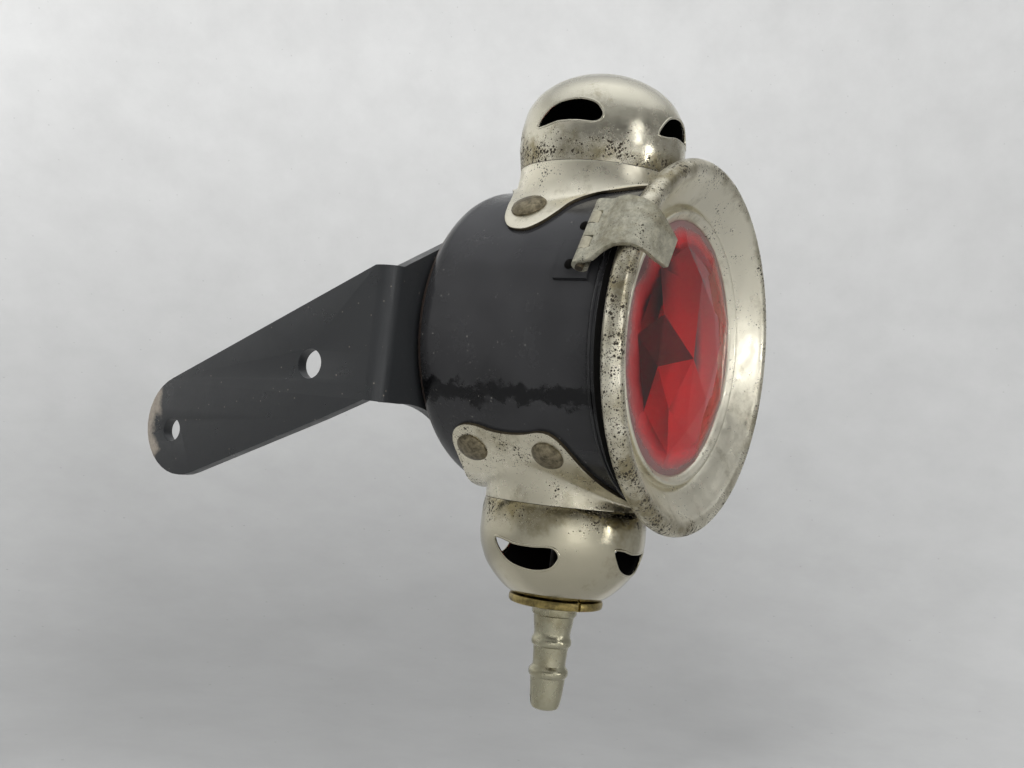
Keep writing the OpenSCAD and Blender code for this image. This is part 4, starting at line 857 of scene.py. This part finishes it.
# Door: pressed brass, nickelled. From the outside in, its edge is rolled into a bead, its face is
# dished, and a small bead holds down the glass; pits and brown bloom gather on the rolled edge.
def from_drum_axis(tree, at):
    """Distance from the drum's axis, as an output of the tree."""
    from_lamp = put(tree, "VectorMath", {0: at, 1: LAMP}, operation="SUBTRACT")
    beside = put(tree, "VectorMath", {0: from_lamp.outputs[0], 1: Vector((1, 0, 1))}, operation="MULTIPLY")
    return put(tree, "VectorMath", {0: beside.outputs[0]}, operation="LENGTH").outputs["Value"]


def on_rolled_edge(tree, at):
    """Gathers bloom and pits from a radius of 32.5 mm outward."""
    crowd = put(tree, "MapRange", {"Value": from_drum_axis(tree, at),
                                   "From Min": 0.0325, "From Max": 0.0355, "To Min": 0, "To Max": 0.13})
    return crowd.outputs["Result"]


door_plate = nickel("door_nickel_plate", 0.62, 0.42, 0.32, "#e4dfcd", on_rolled_edge)
bm = bmesh.new()
BEAD_R, ROLL_R, ROLL_AT, DOOR_SHEET = 0.5, 2.1, (34.9, 25.0), 0.4
rim_line = ([(25.25, 21.0), (25.2, 22.05), (25.35, 22.35), (25.8, 22.75), (26.3, 23.1)]
            + arc((26.72, 22.9), BEAD_R, 110, -20, 8)
            + [(27.26, 22.4), (27.36, 22.05), (27.52, 21.92), (27.72, 22.0), (28.0, 22.35),
               (28.5, 22.85), (29.4, 23.45), (30.6, 24.25), (31.8, 25.15), (32.7, 25.93)]
            + arc(ROLL_AT, ROLL_R, 142, -160, 34))
turn(bm, around_drum(rim_line), (0, 1, 0), steps=224)
rim_piece = piece_from(bm, "door_face", door_plate, sharp=50)
# the dished face, between the bead and the rolled edge, has to look forward
front_faces = [p for p in rim_piece.data.polygons if 27.6 < (((p.center - LAMP) / MM).xz).length < 32]
if sum(p.normal.y for p in front_faces) > 0:
    rim_piece.data.flip_normals()
walled(rim_piece, "sheet", DOOR_SHEET)
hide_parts("door_rim")
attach(rim_piece, "door")

# Ruby glass: pressed glass, clear deep red, a rose of facets over a flat back. Old grey dust lies on
# its flat margin. One kite of the rose and the facet under it are painted a deeper red as painted
# shade, only because the photograph shows them dark.
GLASS_IOR = 1.47
ruby, tree, shader, at = surface("pressed_ruby_glass", "#ff2a32", 0.02, Transmission_Weight=1.0)
shader.inputs["IOR"].default_value = GLASS_IOR
# painted shade: a darker red glass for the facets that show dark
shaded_ruby, shaded_tree, shaded_shader, shaded_at = surface("painted_shade_ruby_glass", "#3a0508", 0.03,
                                                     Transmission_Weight=1.0)
shaded_shader.inputs["IOR"].default_value = GLASS_IOR
swirl = put(shaded_tree, "TexNoise", {"Vector": shaded_at, "Scale": 220, "Detail": 3})
painted_shade_tones = put(shaded_tree, "Mix", {"Factor": swirl.outputs["Fac"], 6: hexed("#2a0306"), 7: hexed("#52080c")},
             data_type="RGBA")
shaded_tree.links.new(painted_shade_tones.outputs[2], shaded_shader.inputs["Base Color"])
off_axis = from_drum_axis(tree, at)
film = put(tree, "TexNoise", {"Vector": at, "Scale": 260, "Detail": 6, "Roughness": 0.6})
wander = put(tree, "Math", {0: film.outputs["Fac"], 1: 0.003, 2: off_axis}, operation="MULTIPLY_ADD")
margin = put(tree, "MapRange", {"Value": wander.outputs[0], "From Min": 0.0218, "From Max": 0.0255})
hazed = put(tree, "MapRange", {"Value": margin.outputs["Result"], "To Min": 0.02, "To Max": 0.28})
tree.links.new(hazed.outputs["Result"], shader.inputs["Roughness"])
clear = put(tree, "MapRange", {"Value": margin.outputs["Result"], "To Min": 1.0, "To Max": 0.6})
tree.links.new(clear.outputs["Result"], shader.inputs["Transmission Weight"])
tint = put(tree, "Mix", {"Factor": margin.outputs["Result"], 6: hexed("#ff2a32"), 7: hexed("#7a5e5c")},
           data_type="RGBA")
tree.links.new(tint.outputs[2], shader.inputs["Base Color"])

FACETS, GLASS_R, GLASS_FRONT, GLASS_BACK, RING_FRONT = 9, 26.4, 21.95, 20.25, 24.1
FACET_TURN, HALF_TURN = 360 / FACETS, 180 / FACETS
LOW_RISE, STEEP_RISE, STEEP, SHADED_KITE, SHADED_FACET = 1.25, 1.7, 4, 4, 5


def glass_corner(bm, r, angle, forward):
    """A corner by its radius, its angle round the drum's axis in degrees, and how far forward it is."""
    return bm.verts.new(LAMP + Vector((r * cos(radians(angle)), -forward, r * sin(radians(angle)))) * MM)


bm = bmesh.new()
point = bm.verts.new(LAMP + Vector((0.2, -25.05, -1.8)) * MM)
# as in the photograph, the rose's corners wander a little from a regular ring
wander_r = (14.6, 14.4, 14.7, 14.9, 14.6, 14.6, 14.4, 16.4, 14.0)
wander_y = (0, 0.15, -0.1, 0.1, -0.15, 0.1, -0.05, 0.15, -0.1)
high = [glass_corner(bm, wander_r[k], FACET_TURN * k, RING_FRONT - wander_y[k]) for k in range(FACETS)]
low_r = (21.6, 21.2, 19.8, 20.2, 21.0, 22.0, 21.0, 21.4, 21.6)
rises = [STEEP_RISE if k == STEEP else LOW_RISE for k in range(FACETS)]
low_ring = [glass_corner(bm, low_r[k], FACET_TURN * k - HALF_TURN, GLASS_FRONT + rises[k])
            for k in range(FACETS)]
edge_front = [glass_corner(bm, GLASS_R, 10 * k - HALF_TURN, GLASS_FRONT) for k in range(36)]
edge_back = [bm.verts.new(v.co + Vector((0, GLASS_FRONT - GLASS_BACK, 0)) * MM) for v in edge_front]
for k in range(FACETS):
    n = (k + 1) % FACETS
    inner = bm.faces.new((point, high[k], high[n]))
    outer = bm.faces.new((high[k], low_ring[n], high[n]))
    below = bm.faces.new((low_ring[k], low_ring[n], high[k]))
    # one kite of the rose, and the facet under it, take the deeper red of painted shade
    inner.material_index = outer.material_index = int(k == SHADED_KITE)
    below.material_index = int(k == SHADED_FACET)
    bm.faces.new([low_ring[k]] + [edge_front[(4 * k + i) % 36] for i in range(5)] + [low_ring[n]])
for k in range(36):
    n = (k + 1) % 36
    bm.faces.new((edge_front[k], edge_back[k], edge_back[n], edge_front[n]))
bm.faces.new(edge_back)
glass = piece_from(bm, "ruby_lens", ruby, shaded_ruby, sharp=1)
worn_edges(glass, "soft_edge", 0.07, 1, 6)
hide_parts("ruby_glass")
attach(glass, "door")

# Hinge strap: a stout nickelled strap, curled round the pin at one end with two slots for the
# leaf's knuckles, arched over the rolled edge and turned down before the glass; its skin is rough.
strap_metal = nickel("rough_nickel_casting", 0.66, 0.7, 0.5, "#cbc7b4")
# mottled and grainy at 1.3 mm and below
tree = strap_metal.node_tree
shader, at = tree.nodes["Principled BSDF"], put(tree, "TexCoord").outputs["Object"]
mottle = put(tree, "TexNoise", {"Vector": at, "Scale": 750, "Detail": 8, "Roughness": 0.8})
mottled = put(tree, "MapRange", {"Value": mottle.outputs["Fac"],
                                 "From Min": 0.35, "From Max": 0.65, "To Min": 0.55, "To Max": 1.08})
plated = shader.inputs["Base Color"].links[0].from_socket
tone = put(tree, "Mix", {"Factor": 1.0, 6: plated, 7: mottled.outputs["Result"]},
           data_type="RGBA", blend_type="MULTIPLY")
tree.links.new(tone.outputs[2], shader.inputs["Base Color"])
smooth_skin = shader.inputs["Normal"].links[0].from_socket
grainy = put(tree, "Bump", {"Height": mottle.outputs["Fac"], "Strength": 0.5, "Distance": 0.00015,
                            "Normal": smooth_skin})
tree.links.new(grainy.outputs["Normal"], shader.inputs["Normal"])
HINGE = radians(151.5)
out, along_pin = Vector((cos(HINGE), 0, sin(HINGE))), Vector((-sin(HINGE), 0, cos(HINGE)))


def at_hinge(r, forward, z):
    """Place of a point by its radius, distance forward and distance along the pin."""
    return LAMP + (out * r + Vector((0, -forward, 0)) + along_pin * z) * MM


PIN_AT, CURL_R, STRAP_WALL = (34.6, 16.4), 1.1, 0.9
SLOT_FROM, SLOT_TO, SLOT_BACK = 1.4, 4.4, -17.9
curl = arc(PIN_AT, CURL_R, -250, -10, 12)
centre_line = curved(curl + [(35.75, 17.5), (36.0, 19.2), (37.15, 21.2), (37.8, 23.6), (37.15, 26.4),
                             (35.3, 28.1), (32.4, 29.1), (29.3, 29.9)], 4)
upper_widths = [7.3] * 13 + [7.2, 6.9, 6.4, 6.0, 5.5, 4.9, 4.0, 3.05]
lower_widths = [7.3] * 13 + [7.1, 6.7, 5.9, 5.0, 4.4, 4.2, 3.9, 3.05]
bm = bmesh.new()
rows = []
for i, (r, forward) in enumerate(centre_line):
    t = i / (len(centre_line) - 1) * (len(upper_widths) - 1)
    k = min(int(t), len(upper_widths) - 2)
    upper, lower = [wide[k] + (wide[k + 1] - wide[k]) * (t - k) for wide in (upper_widths, lower_widths)]
    rows.append([at_hinge(r, forward, (lower if u > 0 else upper) * u / 5) for u in range(-5, 6)])
row = [bm.verts.new(p) for p in rows[0]]
edges = [bm.edges.new(pair) for pair in zip(row, row[1:])]
for spots in rows[1:]:
    made = bmesh.ops.extrude_edge_only(bm, edges=edges)["geom"]
    edges = [g for g in made if isinstance(g, bmesh.types.BMEdge) and not any(v in row for v in g.verts)]
    fresh = {}
    for v in {v for e in edges for v in e.verts}:
        fresh[next(e.other_vert(v) for e in v.link_edges if e.other_vert(v) in row)] = v
    row = [fresh[v] for v in row]
    for vert, spot in zip(row, spots):
        vert.co = spot
slots = []
for face in bm.faces:
    spot = (face.calc_center_median() - LAMP) / MM
    if spot.y > SLOT_BACK and SLOT_FROM < abs(spot.dot(along_pin)) < SLOT_TO:
        slots.append(face)
bmesh.ops.delete(bm, geom=slots, context="FACES")
strap = piece_from(bm, "hinge_strap_bent", strap_metal, sharp=60)
# the arch, beyond the pin, has to look outward
if sum(p.normal.dot(out) for p in strap.data.polygons if ((p.center - LAMP) / MM).dot(out) > 35.5) < 0:
    strap.data.flip_normals()
walled(strap, "sheet", STRAP_WALL, 0)
worn_edges(strap, "rubbed_edge", 0.2)
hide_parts("hinge_strap")
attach(strap, "door")

# Everything inside and behind keeps its solid, with the finish of the real metal. The hinge leaf is
# enamelled with the drum, and its knuckles, outside a radius of 33 mm, are rubbed to grey metal.
worn_leaf, tree, shader, at = surface("worn_leaf_enamel", "#29292a", 0.2, Specular_IOR_Level=0.28)
knuckle = put(tree, "MapRange", {"Value": from_drum_axis(tree, at), "From Min": 0.0328, "From Max": 0.0334})
scuff = put(tree, "TexNoise", {"Vector": at, "Scale": 900, "Detail": 6, "Roughness": 0.7})
metal = put(tree, "Mix", {"Factor": scuff.outputs["Fac"], 6: hexed("#3f3c31"), 7: hexed("#858171")},
            data_type="RGBA")
tone = put(tree, "Mix", {"Factor": knuckle.outputs["Result"], 6: hexed("#1d1d1e"), 7: metal.outputs[2]},
           data_type="RGBA")
tree.links.new(tone.outputs[2], shader.inputs["Base Color"])
soft_grey, tree, shader, at = surface("fired_steatite", "#d8d2c2", 0.6)
pores = put(tree, "TexNoise", {"Vector": at, "Scale": 2500, "Detail": 3})
porous = put(tree, "Bump", {"Height": pores.outputs["Fac"], "Strength": 0.2, "Distance": 0.00004})
tree.links.new(porous.outputs["Normal"], shader.inputs["Normal"])
lint, tree, shader, at = surface("lint_packing", "#7d7468", 0.9)
fibre = put(tree, "TexNoise", {"Vector": at, "Scale": 1800, "Detail": 4})
fibrous = put(tree, "Bump", {"Height": fibre.outputs["Fac"], "Strength": 0.5, "Distance": 0.0001})
tree.links.new(fibrous.outputs["Normal"], shader.inputs["Normal"])
for names, material in (
        (("back_stiffener", "glass_spring_ring"), tin),
        (("chimney_baffle", "air_plate", "door_skirt", "hinge_leaf_rivets"), soot),
        (("burner_holder", "glass_cell"), yellow_brass),
        (("hinge_pin", "nozzle_nut", "gas_tube"), grime_and_shade_edge),
        (("hinge_leaf",), worn_leaf),
        (("bracket_rivets",), black_enamel),
        (("burner_tip",), soft_grey),
        (("glass_packing",), lint)):
    for name in names:
        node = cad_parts[name]
        node.data.materials.clear()
        node.data.materials.append(material)
